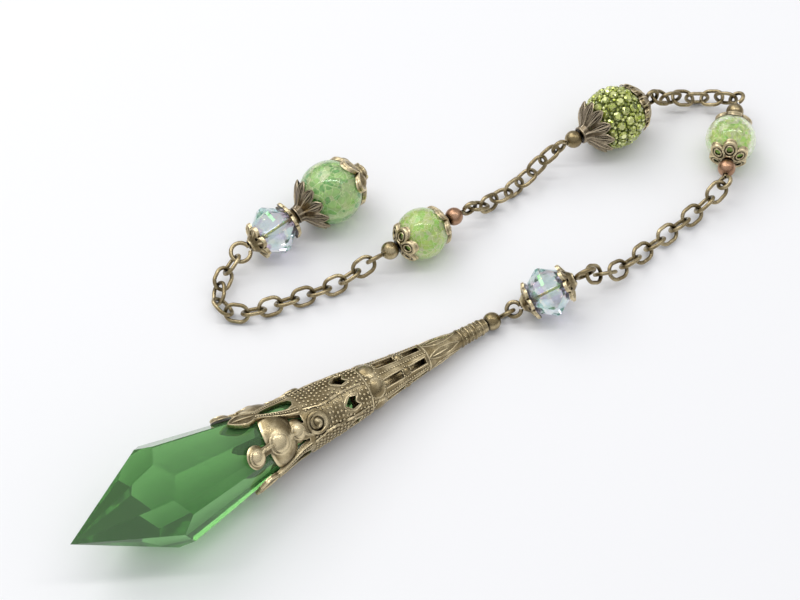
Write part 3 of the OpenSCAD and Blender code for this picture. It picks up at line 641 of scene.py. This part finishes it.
@dataclass
class FiligreeCone:
    """The pierced cone, with granulation, rims, scrolls and leaves laid on its sheet."""

    node: str = "filigree_cone"
    length: float = 44.5
    start: float = 26.0
    mouth_r: float = 6.326
    neck_r: float = 1.1
    petal_pairs: int = 3
    petal_phase: float = 43.0
    seed: int = 5
    grain_r: float = 0.15
    grain_size: Row = (0.17, 0.25)
    grain_stray: Row = (0.8, 0.06)
    grain_gap: float = 0.72
    row_gap: float = 0.62
    wire_r: float = 0.13
    fine_wire_r: float = 0.1
    profile: tuple[Row, ...] = (
        (0.0, 1.0), (0.2, 0.67), (0.31, 0.6), (0.43, 0.52), (0.54, 0.4), (0.66, 0.26), (0.79, 0.15), (0.9, 0.03),
        (1.0, 0.0)
    )
    spear: tuple[Row, ...] = (
        (0.0, 0.2), (0.58, 0.9), (0.98, 1.85), (1.12, 2.8), (0.88, 3.6), (0.6, 4.1)
    )
    strip: tuple[Row, ...] = ((0.42, 4.4), (0.75, 5.6), (1.19, 7.4), (1.5, 9.2), (1.62, 10.4))
    strip_half: Row = (0.2, 0.45)
    spear_vein: tuple[Row, ...] = ((0.0, 0.8), (0.0, 1.9), (0.0, 3.0), (0.0, 4.3))
    scroll_domes: tuple[Triple, ...] = ((0.1, 1.15, 1.15), (-0.15, 5.4, 1.75), (-0.1, 8.8, 1.15))
    scroll_spine: tuple[Row, ...] = (
        (-0.1, 1.6), (-0.35, 2.9), (-0.3, 4.4), (-0.1, 6.4), (-0.15, 8.0), (0.2, 9.4), (0.95, 10.3), (1.3, 11.2)
    )
    curl_at: float = 12.1
    curl_r: float = 1.55
    curl_turns: float = 1.7
    curl_shrink: float = 0.82
    curl_steps: int = 38
    heart: Triple = (18.3, 2.2, 0.95)
    heart_rim: float = 1.25
    heart_outline: tuple[Row, ...] = ((0.0, -0.5), (1.0, 0.0), (0.7, 0.5), (0.0, 0.3), (-0.7, 0.5), (-1.0, 0.0))
    heart_clear: Row = (0.45, 0.4)
    boss_clear: float = 0.42
    curl_clear: float = 0.45
    strip_clear: Row = (2.4, 11.2)
    spine: tuple[Row, ...] = ((-0.3, 11.0), (0.25, 14.0), (0.0, 17.2), (0.0, 21.0))
    slots: tuple[Triple, ...] = ((26.3, 3.4, 0.6), (30.9, 3.0, 0.45))
    slot_clear: Row = (0.12, 0.1)
    bosses: tuple[Row, ...] = ((23.0, 1.15), (28.7, 0.6))
    grained: tuple[Row, ...] = ((11.0, 21.6), (21.8, 24.4))
    strips_end: Row = (24.6, 32.8)
    hoops_at: Row = (21.7, 33.0)
    leaf: tuple[Row, ...] = ((0.0, 33.0), (0.52, 34.4), (0.64, 35.9), (0.4, 37.6), (0.0, 38.9))
    leaf_vein: tuple[Row, ...] = ((0.0, 33.8), (0.0, 35.2), (0.0, 36.6))
    neck_beads: tuple[float, ...] = (40.35, 41.65, 42.95)
    neck_bead_r: float = 0.12

    def radius(self, t: float) -> float:
        """The cone's outer radius at a distance from its petal tips."""
        share = min(max(t / self.length, 0.0), 1.0)
        for (a, wide), (b, narrow) in zip(self.profile, self.profile[1:]):
            if share <= b:
                part = wide + (narrow - wide) * (share - a) / (b - a)
                return self.neck_r + part * (self.mouth_r - self.neck_r)
        return self.neck_r

    def on(self, angle: float, side: float, t: float, lift: float = 0.0) -> Vector:
        """A point on the sheet, by meridian in degrees, way beside it, distance from the tips and lift."""
        reach = self.radius(t) + lift
        out = math.sqrt(max(reach * reach - side * side, 0.0))
        turn = math.radians(angle)
        c, s = math.cos(turn), math.sin(turn)
        return Vector((out * c - side * s, out * s + side * c, self.start + t))

    def out(self, at: Vector) -> Vector:
        """The direction straight out of the sheet at a point."""
        return Vector((at.x, at.y, 0.0)).normalized()

    def hoop(self, t: float, count: int) -> list[Vector]:
        """Points round the sheet at a distance from the petal tips."""
        return [self.on(math.degrees(a), 0.0, t) for a in arc(count)]

    def wire(
        self, piece: Piece, angle: float, line: Sequence[Row], radius: float,
        closed: bool = False, taper: float = 1.0, lift: float = 0.0,
    ) -> None:
        """Lays a wire on the sheet along points given by side and distance from a meridian."""
        piece.tube([self.on(angle, s, t, lift) for s, t in line], radius, closed, taper=taper)

    def grains(self, piece: Piece, angle: float, line: Sequence[Row], gap: float, closed: bool = False) -> None:
        """Lays a row of grains on the sheet along such points, about a gap apart."""
        for at in spaced([self.on(angle, s, t, 0.02) for s, t in line], gap, closed):
            piece.ball(at, self.grain_r)

    def circle(self, middle_t: float, r: float, count: int, side: float = 0.0) -> list[Row]:
        """Side and distance of the points of a circle drawn on the sheet."""
        return [(side + r * math.cos(a), middle_t + r * math.sin(a)) for a in arc(count)]

    def curve(self, line: Sequence[Row], steps: int, hand: int = 1) -> list[Row]:
        """A rounded line on the sheet, or its mirror image where the hand is -1."""
        return smooth_line([(hand * s, t) for s, t in line], steps)

    def meridians(self) -> list[float]:
        """The angles of the petals, spears and scrolls in turn."""
        return [self.petal_phase + 180.0 / self.petal_pairs * k for k in range(2 * self.petal_pairs)]

    def spear_petal(self, piece: Piece, angle: float) -> None:
        """Adds a spear leaf's rim and vein, and the grains and edges of its two strips."""
        for hand in (-1, 1):
            self.wire(piece, angle, self.curve(self.spear, 5, hand), self.wire_r, taper=0.75)
            strip = self.curve(self.strip, 4, hand)
            self.grains(piece, angle, strip, 0.36)
            share = [i / (len(strip) - 1) for i in range(len(strip))]
            for edge in (-1, 1):
                near, far = self.strip_half
                line = [(s + edge * (near + (far - near) * k), t) for (s, t), k in zip(strip, share)]
                self.wire(piece, angle, line, self.fine_wire_r)
        self.wire(piece, angle, self.spear_vein, 0.2, taper=0.3)

    def scroll_petal(self, piece: Piece, angle: float) -> None:
        """Adds a scroll petal's domes, its curving arm and its spiral curl."""
        for side, t, r in self.scroll_domes:
            at = self.on(angle, side, t, 0.0)
            piece.ball(at, r * 0.78, 20, 10, 0.34, self.out(at))
            self.wire(piece, angle, self.circle(t, r * 0.9, 22, side), 0.14, True)
        self.wire(piece, angle, self.curve(self.scroll_spine, 4), 0.34, taper=0.6, lift=-0.06)
        spiral = []
        for i in range(self.curl_steps):
            share = i / (self.curl_steps - 1)
            a = math.tau * self.curl_turns * share - math.pi / 3
            r = self.curl_r * (1.0 - self.curl_shrink * share)
            spiral.append((r * math.cos(a), self.curl_at + r * math.sin(a)))
        self.wire(piece, angle, spiral, 0.27, taper=0.75, lift=0.06)

    def taken(self, side: float, t: float, scroll: bool) -> bool:
        """Whether a place beside a meridian is kept free of grains.

        Args:
            side: how far beside the meridian.
            t: how far from the petal tips.
            scroll: whether the meridian is a scroll petal's.

        Returns:
            True where a curl, a strip, a heart or a boss lies.
        """
        heart_t, long, half = self.heart
        wide, high = self.heart_clear
        if math.hypot(side / (half + wide), (t - heart_t) / (long / 2 + high)) < 1.0:
            return True
        if any(math.hypot(side, t - boss_t) < r + self.boss_clear for boss_t, r in self.bosses):
            return True
        if scroll:
            return math.hypot(side, t - self.curl_at) < self.curl_r + self.curl_clear
        wide, high = self.strip_clear
        return t < high and abs(side) < wide

    def granulation(self, piece: Piece) -> None:
        """Covers the collar with fine grains in rows, but for what lies on it."""
        chance = random.Random(self.seed)
        step = 180.0 / self.petal_pairs
        turn_stray, along_stray = self.grain_stray
        for low, high in self.grained:
            rows = round((high - low) / self.row_gap)
            for row in range(rows):
                t = low + (row + 0.5) * (high - low) / rows
                count = round(math.tau * self.radius(t) / self.grain_gap)
                for i in range(count):
                    angle = 360.0 * (i + 0.5 * (row % 2)) / count + chance.uniform(-turn_stray, turn_stray)
                    nearest = round((angle - self.petal_phase) / step)
                    side = math.sin(math.radians(angle - self.petal_phase - nearest * step)) * self.radius(t)
                    if not self.taken(side, t, nearest % 2 == 1):
                        at = self.on(angle, 0.0, t + chance.uniform(-along_stray, along_stray))
                        piece.ball(at, chance.uniform(*self.grain_size))

    def collar(self, piece: Piece) -> None:
        """Adds the granulation, the spines between the petals and the rims of the hearts."""
        self.granulation(piece)
        middle_t, long, half = self.heart
        wide, high = self.heart_rim * half, self.heart_rim * long
        for k, angle in enumerate(self.meridians()):
            heart = smooth_line([(wide * s, middle_t + high * t) for s, t in self.heart_outline], 4, True)
            self.wire(piece, angle, heart, self.wire_r, True)
            between = angle + 90.0 / self.petal_pairs
            spine = self.curve(self.spine, 5, -1 if k % 2 else 1)
            self.wire(piece, between, spine, 0.24, taper=0.5, lift=0.05)

    def sleeve(self, piece: Piece) -> None:
        """Adds the grains round the bosses, the edges of the slots and the strips between them."""
        low, high = self.strips_end
        beside, beyond = self.slot_clear
        for angle in self.meridians():
            for t, r in self.bosses:
                self.grains(piece, angle, self.circle(t, r * 1.22, 14), 0.4, True)
            for middle_t, long, half in self.slots:
                ends = (middle_t - long / 2 - beyond, middle_t, middle_t + long / 2 + beyond)
                for hand in (-1, 1):
                    self.wire(piece, angle, [(hand * (half + beside), t) for t in ends], 0.09, taper=0.8)
            between = angle + 90.0 / self.petal_pairs
            self.grains(piece, between, [(0.0, low), (0.0, (low + high) / 2), (0.0, high)], 0.44)
        for t in self.hoops_at:
            piece.tube(self.hoop(t, 40), self.wire_r, True)

    def neck(self, piece: Piece) -> None:
        """Adds the pointed leaves and the beaded rings near the neck."""
        for angle in self.meridians():
            for hand in (-1, 1):
                self.wire(piece, angle, self.curve(self.leaf, 4, hand), self.fine_wire_r, taper=0.7)
            self.wire(piece, angle, self.leaf_vein, 0.15, taper=0.4)
        for t in self.neck_beads:
            for at in spaced(self.hoop(t, 30), 0.4, True):
                piece.ball(at, self.neck_bead_r)

    def petals(self, piece: Piece) -> None:
        """Adds the ornament of the spear and scroll petals in turn."""
        for k, angle in enumerate(self.meridians()):
            add = self.scroll_petal if k % 2 else self.spear_petal
            add(piece, angle)

    def build(self, thread: Thread) -> None:
        """Builds the ornament and dresses the cone.

        Args:
            thread: the pendulum's axis, from the crystal's tip.
        """
        bronze = FINISH[Slot.BRONZE]
        dress(self.node, bronze)
        zones = {"petal": self.petals, "collar": self.collar, "sleeve": self.sleeve, "neck": self.neck}
        for zone, add in zones.items():
            piece = Piece(f"cone_{zone}_ornament")
            add(piece)
            piece.finish(thread.matrix(), bronze, Slot.BRONZE)


# Caps


@dataclass
class DomeCap:
    """A cap of looped petals that follows a round bead."""

    bead_d: float
    width: float
    petals: int = 6
    seat_gap: float = 0.05
    wall: float = 0.4

    def on_dome(self, x: float, y: float, lift: float = 0.0) -> Vector:
        """The point of the cap's dome over a place across the pin."""
        reach = self.bead_d / 2 + self.seat_gap + self.wall + lift
        return Vector((x, y, math.sqrt(max(reach * reach - x * x - y * y, 0.0))))

    def toward(self, turn: float, u: float, v: float, lift: float) -> Vector:
        """The same, by the place's distance along a direction and beside it."""
        c, s = math.cos(turn), math.sin(turn)
        return self.on_dome(u * c - v * s, u * s + v * c, lift)

    def petal(self, turn: float, at: float, r: float, count: int, lift: float) -> list[Vector]:
        """A petal's round outline, its middle at that distance from the pin."""
        return [self.toward(turn, at + r * math.cos(a), r * math.sin(a), lift) for a in arc(count)]


@dataclass
class PetalCap(DomeCap):
    """A small crackle bead's cap: petals with raised rims about their openings."""

    bead_d: float = 8.0
    width: float = 6.4
    petal_share: float = 0.19
    rims: tuple[Row, ...] = ((0.86, 0.17), (0.47, 0.11))
    collars: tuple[Row, ...] = ((0.95, 0.2), (0.62, 0.14))
    stud: Row = (1.5, 0.2)

    def add(self, piece: Piece) -> None:
        """Adds the petals' raised rims, a stud between each two and the collar round the pin."""
        petal_r = self.width * self.petal_share
        petal_at = self.width / 2 - petal_r
        stud_at, stud_r = self.stud
        for turn in arc(self.petals):
            for share, wire in self.rims:
                piece.tube(self.petal(turn, petal_at, petal_r * share, 22, -0.06), wire, True)
            between = turn + math.pi / self.petals
            piece.ball(self.on_dome(stud_at * math.cos(between), stud_at * math.sin(between), -0.02), stud_r)
        for r, wire in self.collars:
            piece.tube([self.on_dome(r * math.cos(a), r * math.sin(a), -0.02) for a in arc(24)], wire, True)


@dataclass
class FlowerCap:
    """A scalloped cap on a rondelle: a hub that stands up from a shallow flange."""

    width: float = 6.2
    lobes: int = 8
    lobe_share: float = 0.3
    outline: tuple[Row, ...] = ((1.05, 4.3), (1.75, 3.55), (3.15, 3.0))
    ridge: tuple[float, ...] = (1.7, 2.05, 2.4, 2.8)
    collars: tuple[Row, ...] = ((0.86, 0.18), (0.6, 0.12))
    rim_inset: float = 0.12

    def on_dish(self, r: float, lift: float = 0.0) -> float:
        """The height of the cap's top at a distance from the pin."""
        if r <= self.outline[0][0]:
            return self.outline[0][1] + lift
        for (a, high), (b, low) in zip(self.outline, self.outline[1:]):
            if r <= b:
                return high + (low - high) * (r - a) / (b - a) + lift
        return self.outline[-1][1] + lift

    def add(self, piece: Piece) -> None:
        """Adds the scalloped rim, a ridge down each lobe and the collar round the pin."""
        lobe_r = self.width / 2 * self.lobe_share
        lobe_at = self.width / 2 - lobe_r
        rim = []
        for a in arc(96):
            off = (a + math.pi / self.lobes) % (math.tau / self.lobes) - math.pi / self.lobes
            across = math.sqrt(max(lobe_r ** 2 - (lobe_at * math.sin(off)) ** 2, 0.0))
            r = lobe_at * math.cos(off) + across - self.rim_inset
            rim.append(round_pin(r, a, self.on_dish(r, -0.06)))
        piece.tube(rim, 0.15, True)
        for turn in arc(self.lobes):
            line = [round_pin(r, turn, self.on_dish(r, -0.03)) for r in self.ridge]
            piece.tube(line, 0.18, taper=0.7)
        for r, wire in self.collars:
            piece.tube(hoop(r, self.on_dish(r), 22), wire, True)


@dataclass
class BellCap:
    """A deep cap, leafy or ribbed: ribs run down its bell from the hub to the rim."""

    width: float
    low: float
    top: float
    outline: tuple[Row, ...]
    ribs: int
    phase: float
    wire: float
    leaf_edge: tuple[Row, ...] = ()
    leaf_vein: tuple[Row, ...] = ((0.16, 0.62), (0.34, 0.44), (0.42, 0.28), (0.36, 0.16))
    rib_shares: tuple[float, ...] = (0.97, 0.86, 0.73, 0.6, 0.44, 0.28, 0.14, 0.03)
    collars: tuple[Row, ...] = ((1.0, 0.2), (0.68, 0.15))

    def at(self, share: float) -> Row:
        """Radius and height of the bell, by the share of its height above the rim."""
        for (wide, a), (narrow, b) in zip(self.outline, self.outline[1:]):
            if share <= b:
                part = wide + (narrow - wide) * (share - a) / (b - a)
                return part * self.width / 2, self.low + share * (self.top - self.low)
        return self.outline[-1][0] * self.width / 2, self.top

    def place(self, turn: float, side: float, share: float, lift: float = -0.03) -> Vector:
        """A point on the bell, by its angle, way beside it, share of the height and lift."""
        r, z = self.at(share)
        return round_pin(r + lift, turn + side / r, z)

    def add(self, piece: Piece) -> None:
        """Adds the ribs, the leaves' edges where there are leaves, and the hub's collar."""
        for i in range(self.ribs):
            turn = math.tau * (i + self.phase) / self.ribs
            piece.tube([self.place(turn, 0.0, share) for share in self.rib_shares], self.wire, taper=0.6)
            if not self.leaf_edge:
                continue
            for hand in (-1, 1):
                for line, wire, taper in ((self.leaf_edge, 0.12, 0.8), (self.leaf_vein, 0.1, 0.6)):
                    piece.tube([self.place(turn, hand * s, share) for s, share in line], wire, taper=taper)
        r, z = self.at(1.0)
        for shrink, wire in self.collars:
            piece.tube(hoop(r * shrink, z, 24), wire, True)


@dataclass
class EndCap(DomeCap):
    """The free end's cap of broad petals round a small blossom."""

    bead_d: float = 10.0
    width: float = 8.6
    broad_share: float = 0.36
    rim_share: float = 0.9
    ribs: tuple[float, ...] = (-0.38, 0.0, 0.38)
    rib_line: tuple[float, ...] = (1.9, 2.6, 3.3, 3.8)
    hub_z: float = 6.05
    blossom: int = 8
    blossom_at: float = 1.15

    def add(self, piece: Piece) -> None:
        """Adds the broad petals' rims, ribs on every second one, and the blossom."""
        broad_r = self.width / 2 * self.broad_share
        broad_at = self.width / 2 - broad_r
        for i, turn in enumerate(arc(self.petals)):
            piece.tube(self.petal(turn, broad_at, self.rim_share * broad_r, 26, -0.05), 0.19, True)
            if i % 2:
                for v in self.ribs:
                    piece.tube([self.toward(turn, u, v, -0.02) for u in self.rib_line], 0.13, taper=0.6)
        for petal in hoop(self.blossom_at, self.hub_z, self.blossom):
            piece.ball(petal, 0.42, 10, 6, 0.55)
        piece.tube(hoop(0.66, self.hub_z + 0.06, 20), 0.16, True)


# Beads


@dataclass
class CrackleBead:
    """A bored glass bead with a clear skin over crazed glass."""

    node: str
    diameter: float
    skin: CrackleGlass
    core: CrazedCore
    slot: Slot
    core_share: float = 0.93
    bore_r: float = 0.75
    arc_steps: int = 24
    turns: int = 56

    def build(self) -> None:
        """Builds the crazed core and dresses the bead."""
        dress(self.node, self.skin.build())
        piece = Piece(f"{self.node}_cracks")
        radius = self.diameter / 2 * self.core_share
        pole = math.acos(self.bore_r / radius)
        outline = [
            Vector((radius * math.cos(a), 0.0, radius * math.sin(a)))
            for a in (pole * (2.0 * i / self.arc_steps - 1.0) for i in range(self.arc_steps + 1))
        ]
        piece.turned(outline, self.turns)
        piece.finish(THREADS[self.node].matrix(), self.core.build(), self.slot, 40.0)


@dataclass
class StoneSetBead:
    """A clay ball set all over with small cut stones."""

    clay_node: str = "pave_bead"
    stones_node: str = "pave_stones"
    diameter: float = 10.0
    stone_d: float = 1.5
    stone_h: float = 0.5
    stone_gap: float = 0.12
    row_step: float = 20.0
    rows: int = 3
    facets: int = 8
    table: float = 0.55
    girdle: float = 0.3
    crown: Row = (0.82, 0.68)
    small_d: float = 0.62
    small_lift: float = 0.06

    @property
    def seat(self) -> float:
        """The clay's radius."""
        return self.diameter / 2 - self.stone_h

    def places(self, row: int, level: float, shift: float = 0.0) -> Iterable[Matrix]:
        """The turns that bring +Z to each place round the bead, at one level.

        Args:
            row: the row of large stones that gives the count and the stagger, from the middle one.
            level: the places' own level, in rows from the middle one.
            shift: how far they are moved on, as a share of a step.

        Yields:
            The turns.
        """
        way_round = math.tau * self.seat * math.cos(math.radians(row * self.row_step))
        count = math.floor(way_round / (self.stone_d + self.stone_gap))
        tilt = math.radians(level * self.row_step)
        for i in range(count):
            turn = (i + 0.5 * (abs(row) % 2) + shift) * math.tau / count
            yield Matrix.Rotation(turn, 4, "Z") @ Matrix.Rotation(math.pi / 2 - tilt, 4, "Y")

    def stone(self, piece: Piece, place: Matrix) -> None:
        """Adds one stone: a girdle, two rings of crown facets and a table.

        Args:
            piece: where it goes.
            place: its seat, with its table along +Z.
        """
        half_facet = math.pi / self.facets
        crown_share, crown_height = self.crown
        rings = []
        for share, height, turn in ((1.0, 0.0, half_facet), (1.0, self.girdle, half_facet),
                                    (crown_share, crown_height, 0.0), (self.table, 1.0, half_facet)):
            at = place @ Matrix.Translation((0, 0, height * self.stone_h)) @ Matrix.Rotation(turn, 4, "Z")
            rings.append(piece.ring(share * self.stone_d / 2, self.facets, at))
        loops = [edges_of(ring) for ring in rings]
        bmesh.ops.bridge_loops(piece.mesh, edges=loops[0] + loops[1])
        for low, high in zip(rings[1:], rings[2:]):
            self.band(piece, low, high)
        for end in (loops[0], loops[-1]):
            bmesh.ops.edgeloop_fill(piece.mesh, edges=end)

    def band(self, piece: Piece, low: list[bmesh.types.BMVert], high: list[bmesh.types.BMVert]) -> None:
        """Joins two rings that are turned half a facet apart by a band of triangles.

        Args:
            piece: where they are.
            low: the outer ring.
            high: the inner ring.
        """
        for ring, other in ((low, high), (high, low)):
            for i, vert in enumerate(ring):
                after = ring[(i + 1) % self.facets]
                between = (vert.co + after.co) / 2
                apex = min(other, key=lambda v: (v.co - between).length)
                piece.mesh.faces.new((vert, after, apex))

    def build(self, thread: Thread) -> None:
        """Builds the stones and dresses the clay.

        Args:
            thread: the bead's line.
        """
        dress(self.clay_node, CLAY.build())
        finish = PERIDOT.build()
        piece = Piece("pave_stone_field")
        for row in range(-self.rows, self.rows + 1):
            for place in self.places(row, row):
                self.stone(piece, place @ Matrix.Translation((0, 0, self.seat)))
        stones = piece.finish(thread.matrix(), finish, Slot.STONES, 5.0)
        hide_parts(self.stones_node)
        self.small_stones().finish(thread.matrix(), finish, Slot.STONES, 5.0)

    def small_stones(self) -> Piece:
        """Strews tiny stones in the gaps between the rows."""
        piece = Piece("pave_small_stones")
        for row in range(-self.rows, self.rows):
            for near, far in ((row, row + 1), (row + 1, row)):
                for place in self.places(near, (2 * near + far) / 3, 0.5):
                    at = place @ Vector((0.0, 0.0, self.seat + self.small_lift))
                    piece.ball(at, self.small_d / 2, 6, 4, 0.75, place @ Vector((0.0, 0.0, 1.0)))
        return piece


# Wire work


@dataclass
class WireWork:
    """The chains, pins, spacers and caps that keep their solids and take a metal finish."""

    dark: tuple[str, ...] = ("pave_leafy_cap", "crackle_big_leafy_cap")
    copper: tuple[str, ...] = ("crackle_1_spacer_a", "crackle_2_spacer_b")
    dressed_elsewhere: tuple[str, ...] = (
        "crystal_point", "rondelle_1", "rondelle_2", "crackle_1", "crackle_2", "crackle_big", "pave_bead",
        "pave_stones", "filigree_cone",
    )

    def build(self) -> None:
        """Dresses every metal solid but the cone."""
        slots = dict.fromkeys(self.dark, Slot.DARK_BRONZE) | dict.fromkeys(self.copper, Slot.COPPER)
        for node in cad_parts:
            if node not in self.dressed_elsewhere:
                dress(node, FINISH[slots.get(node, Slot.BRONZE)])


@dataclass
class CapWork:
    """The raised work on every bead cap."""

    leafy: tuple[Row, ...] = ((1.0, 0.0), (0.89, 0.185), (0.69, 0.415), (0.48, 0.585), (0.33, 0.725), (0.27, 1.0))
    leaf_edge: tuple[Row, ...] = ((0.93, 0.38), (0.9, 0.28), (0.76, 0.2), (0.5, 0.11), (0.2, 0.02))
    ribbed: tuple[Row, ...] = ((1.06, 0.0), (1.07, 0.18), (0.84, 0.55), (0.5, 0.93), (0.3, 1.0))

    def build(self) -> None:
        """Builds the raised work of all caps."""
        petal, flower = PetalCap(), FlowerCap()
        leafy = BellCap(
            width=9.0, low=3.4, top=6.65, outline=self.leafy, ribs=11, phase=0.8, wire=0.17, leaf_edge=self.leaf_edge
        )
        ribbed = BellCap(width=7.6, low=3.333, top=6.05, outline=self.ribbed, ribs=18, phase=0.1, wire=0.13)
        jobs = [
            (f"{bead}_cap_{letter}_relief", cap, bead, end, Slot.BRONZE)
            for bead, cap in (
                ("crackle_1", petal), ("crackle_2", petal), ("rondelle_1", flower), ("rondelle_2", flower)
            )
            for letter, end in (("a", End.LOW), ("b", End.HIGH))
        ]
        jobs += [
            ("pave_leafy_cap_relief", leafy, "pave_bead", End.LOW, Slot.DARK_BRONZE),
            ("pave_ribbed_cap_relief", ribbed, "pave_bead", End.HIGH, Slot.BRONZE),
            ("crackle_big_leafy_cap_relief", leafy, "crackle_big", End.LOW, Slot.DARK_BRONZE),
            ("crackle_big_end_cap_relief", EndCap(), "crackle_big", End.HIGH, Slot.BRONZE),
        ]
        for name, cap, bead, end, slot in jobs:
            piece = Piece(name)
            cap.add(piece)
            piece.finish(THREADS[bead].end(end), FINISH[slot], slot)


# Studio


@dataclass
class Studio:
    """The floor, the soft lights and the camera at the photograph's angle."""

    eye: Triple = (-0.00595, -0.17118, 0.249)
    look_down: float = 55.0
    lens: float = 90.0
    sensor: float = 36.0
    floor_half: float = 1.6
    glow: tuple[float, ...] = (0.03, 0.6, 0.24, 0.74)

    def floor(self) -> None:
        """Lays the pale paper."""
        mesh = bmesh.new()
        bmesh.ops.create_grid(mesh, x_segments=8, y_segments=8, size=self.floor_half)
        data = bpy.data.meshes.new("studio_floor")
        mesh.to_mesh(data)
        mesh.free()
        data.materials.append(PAPER.build())
        paper = bpy.data.objects.new("studio_floor", data)
        bpy.context.scene.collection.objects.link(paper)
        paper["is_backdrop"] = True

    def lamp(self, name: str, at: Vector, aim: Vector, size: Row, power: float, colour: Colour) -> None:
        """Hangs one soft light.

        Args:
            name: its name.
            at: where it hangs.
            aim: what it points at.
            size: its width and height.
            power: its power in watts.
            colour: its colour.
        """
        data = bpy.data.lights.new(name, "AREA")
        data.shape = "RECTANGLE"
        data.size, data.size_y = size
        data.energy = power
        data.color = colour
        lamp = bpy.data.objects.new(name, data)
        lamp.location = at
        lamp.rotation_euler = (aim - at).to_track_quat("-Z", "Y").to_euler()
        bpy.context.scene.collection.objects.link(lamp)

    def lights(self) -> None:
        """Hangs the soft lights and sets the room's glow."""
        target = Vector((0.0, 0.0, 0.0))
        self.lamp("window", Vector((-0.3, 0.36, 0.5)), target, (0.45, 0.45), 1.3, (1.0, 0.99, 0.97))
        self.lamp("tube", Vector((0.0, 0.08, 0.7)), target, (1.2, 0.04), 1.6, (1.0, 1.0, 0.99))
        bpy.context.scene.world = self.room()

    def room(self) -> bpy.types.World:
        """Makes the room's glow, dim along the horizon and bright overhead."""
        world = bpy.data.worlds.new("room")
        world.use_nodes = True
        nodes, links = world.node_tree.nodes, world.node_tree.links
        direction = nodes.new("ShaderNodeTexCoord")
        split = nodes.new("ShaderNodeSeparateXYZ")
        glow = nodes.new("ShaderNodeMapRange")
        glow.interpolation_type = "SMOOTHSTEP"
        for name, value in zip(("From Min", "From Max", "To Min", "To Max"), self.glow):
            glow.inputs[name].default_value = value
        back = nodes["Background"]
        back.inputs["Color"].default_value = (0.96, 0.97, 1.0, 1.0)
        links.new(direction.outputs["Generated"], split.inputs["Vector"])
        links.new(split.outputs["Z"], glow.inputs["Value"])
        links.new(glow.outputs["Result"], back.inputs["Strength"])
        return world

    def camera(self) -> None:
        """Sets the camera where the photograph was taken."""
        data = bpy.data.cameras.new("camera")
        data.sensor_width = self.sensor
        data.lens = self.lens
        data.clip_start = 0.01
        data.clip_end = 20.0
        camera = bpy.data.objects.new("camera", data)
        camera.location = self.eye
        camera.rotation_euler = (math.radians(90.0 - self.look_down), 0.0, 0.0)
        bpy.context.scene.collection.objects.link(camera)
        bpy.context.scene.camera = camera

    def build(self) -> None:
        """Builds the whole studio."""
        self.floor()
        self.lights()
        self.camera()
        bpy.context.scene.view_settings.view_transform = "Standard"


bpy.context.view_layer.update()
FINISH: dict[Slot, bpy.types.Material] = {}
THREADS: dict[str, Thread] = {}


def find_threads() -> Thread:
    """Reads each bead's line from the solids it is threaded with.

    Returns:
        The pendulum's own line, from the crystal's tip.
    """
    for bead in ("crackle_1", "crackle_2"):
        THREADS[bead] = Thread.between(middle(f"{bead}_spacer_a"), middle(f"{bead}_spacer_b"), middle(bead))
    THREADS["pave_bead"] = Thread.between(middle("pave_spacer"), middle("pave_bead"), middle("pave_bead"))
    for bead in ("rondelle_2", "crackle_big"):
        THREADS[bead] = Thread.between(middle("rondelle_2"), middle("crackle_big"), middle(bead))
    THREADS["rondelle_1"] = Thread(middle("rondelle_1"), math.radians(18.0), math.radians(22.0))
    ball = middle("cone_ball")
    tip = CrystalPoint().tip(ball)
    return Thread.between(tip, ball, tip)


def main() -> None:
    """Builds and dresses every sub-assembly, then reports the pieces."""
    logging.basicConfig(level=logging.INFO, format="%(name)s: %(message)s")
    for slot, finish in ((Slot.BRONZE, BRONZE), (Slot.DARK_BRONZE, DARK_BRONZE), (Slot.COPPER, COPPER_BRONZE)):
        FINISH[slot] = finish.build()
    pendulum = find_threads()
    CrystalPoint().build()
    FiligreeCone().build(pendulum)
    clear = CLEAR_CRYSTAL.build()
    for node in ("rondelle_1", "rondelle_2"):
        dress(node, clear)
    for node in ("crackle_1", "crackle_2"):
        CrackleBead(node, 8.0, LIGHT_CRACKLE, LIGHT_CORE, Slot.CRACKLE).build()
    CrackleBead("crackle_big", 10.0, DEEP_CRACKLE, DEEP_CORE, Slot.DEEP_CRACKLE).build()
    StoneSetBead().build(THREADS["pave_bead"])
    WireWork().build()
    CapWork().build()
    Studio().build()
    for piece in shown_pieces():
        log.info("%s, %d faces", piece.name, len(piece.data.polygons))


if __name__ == "__main__":
    main()
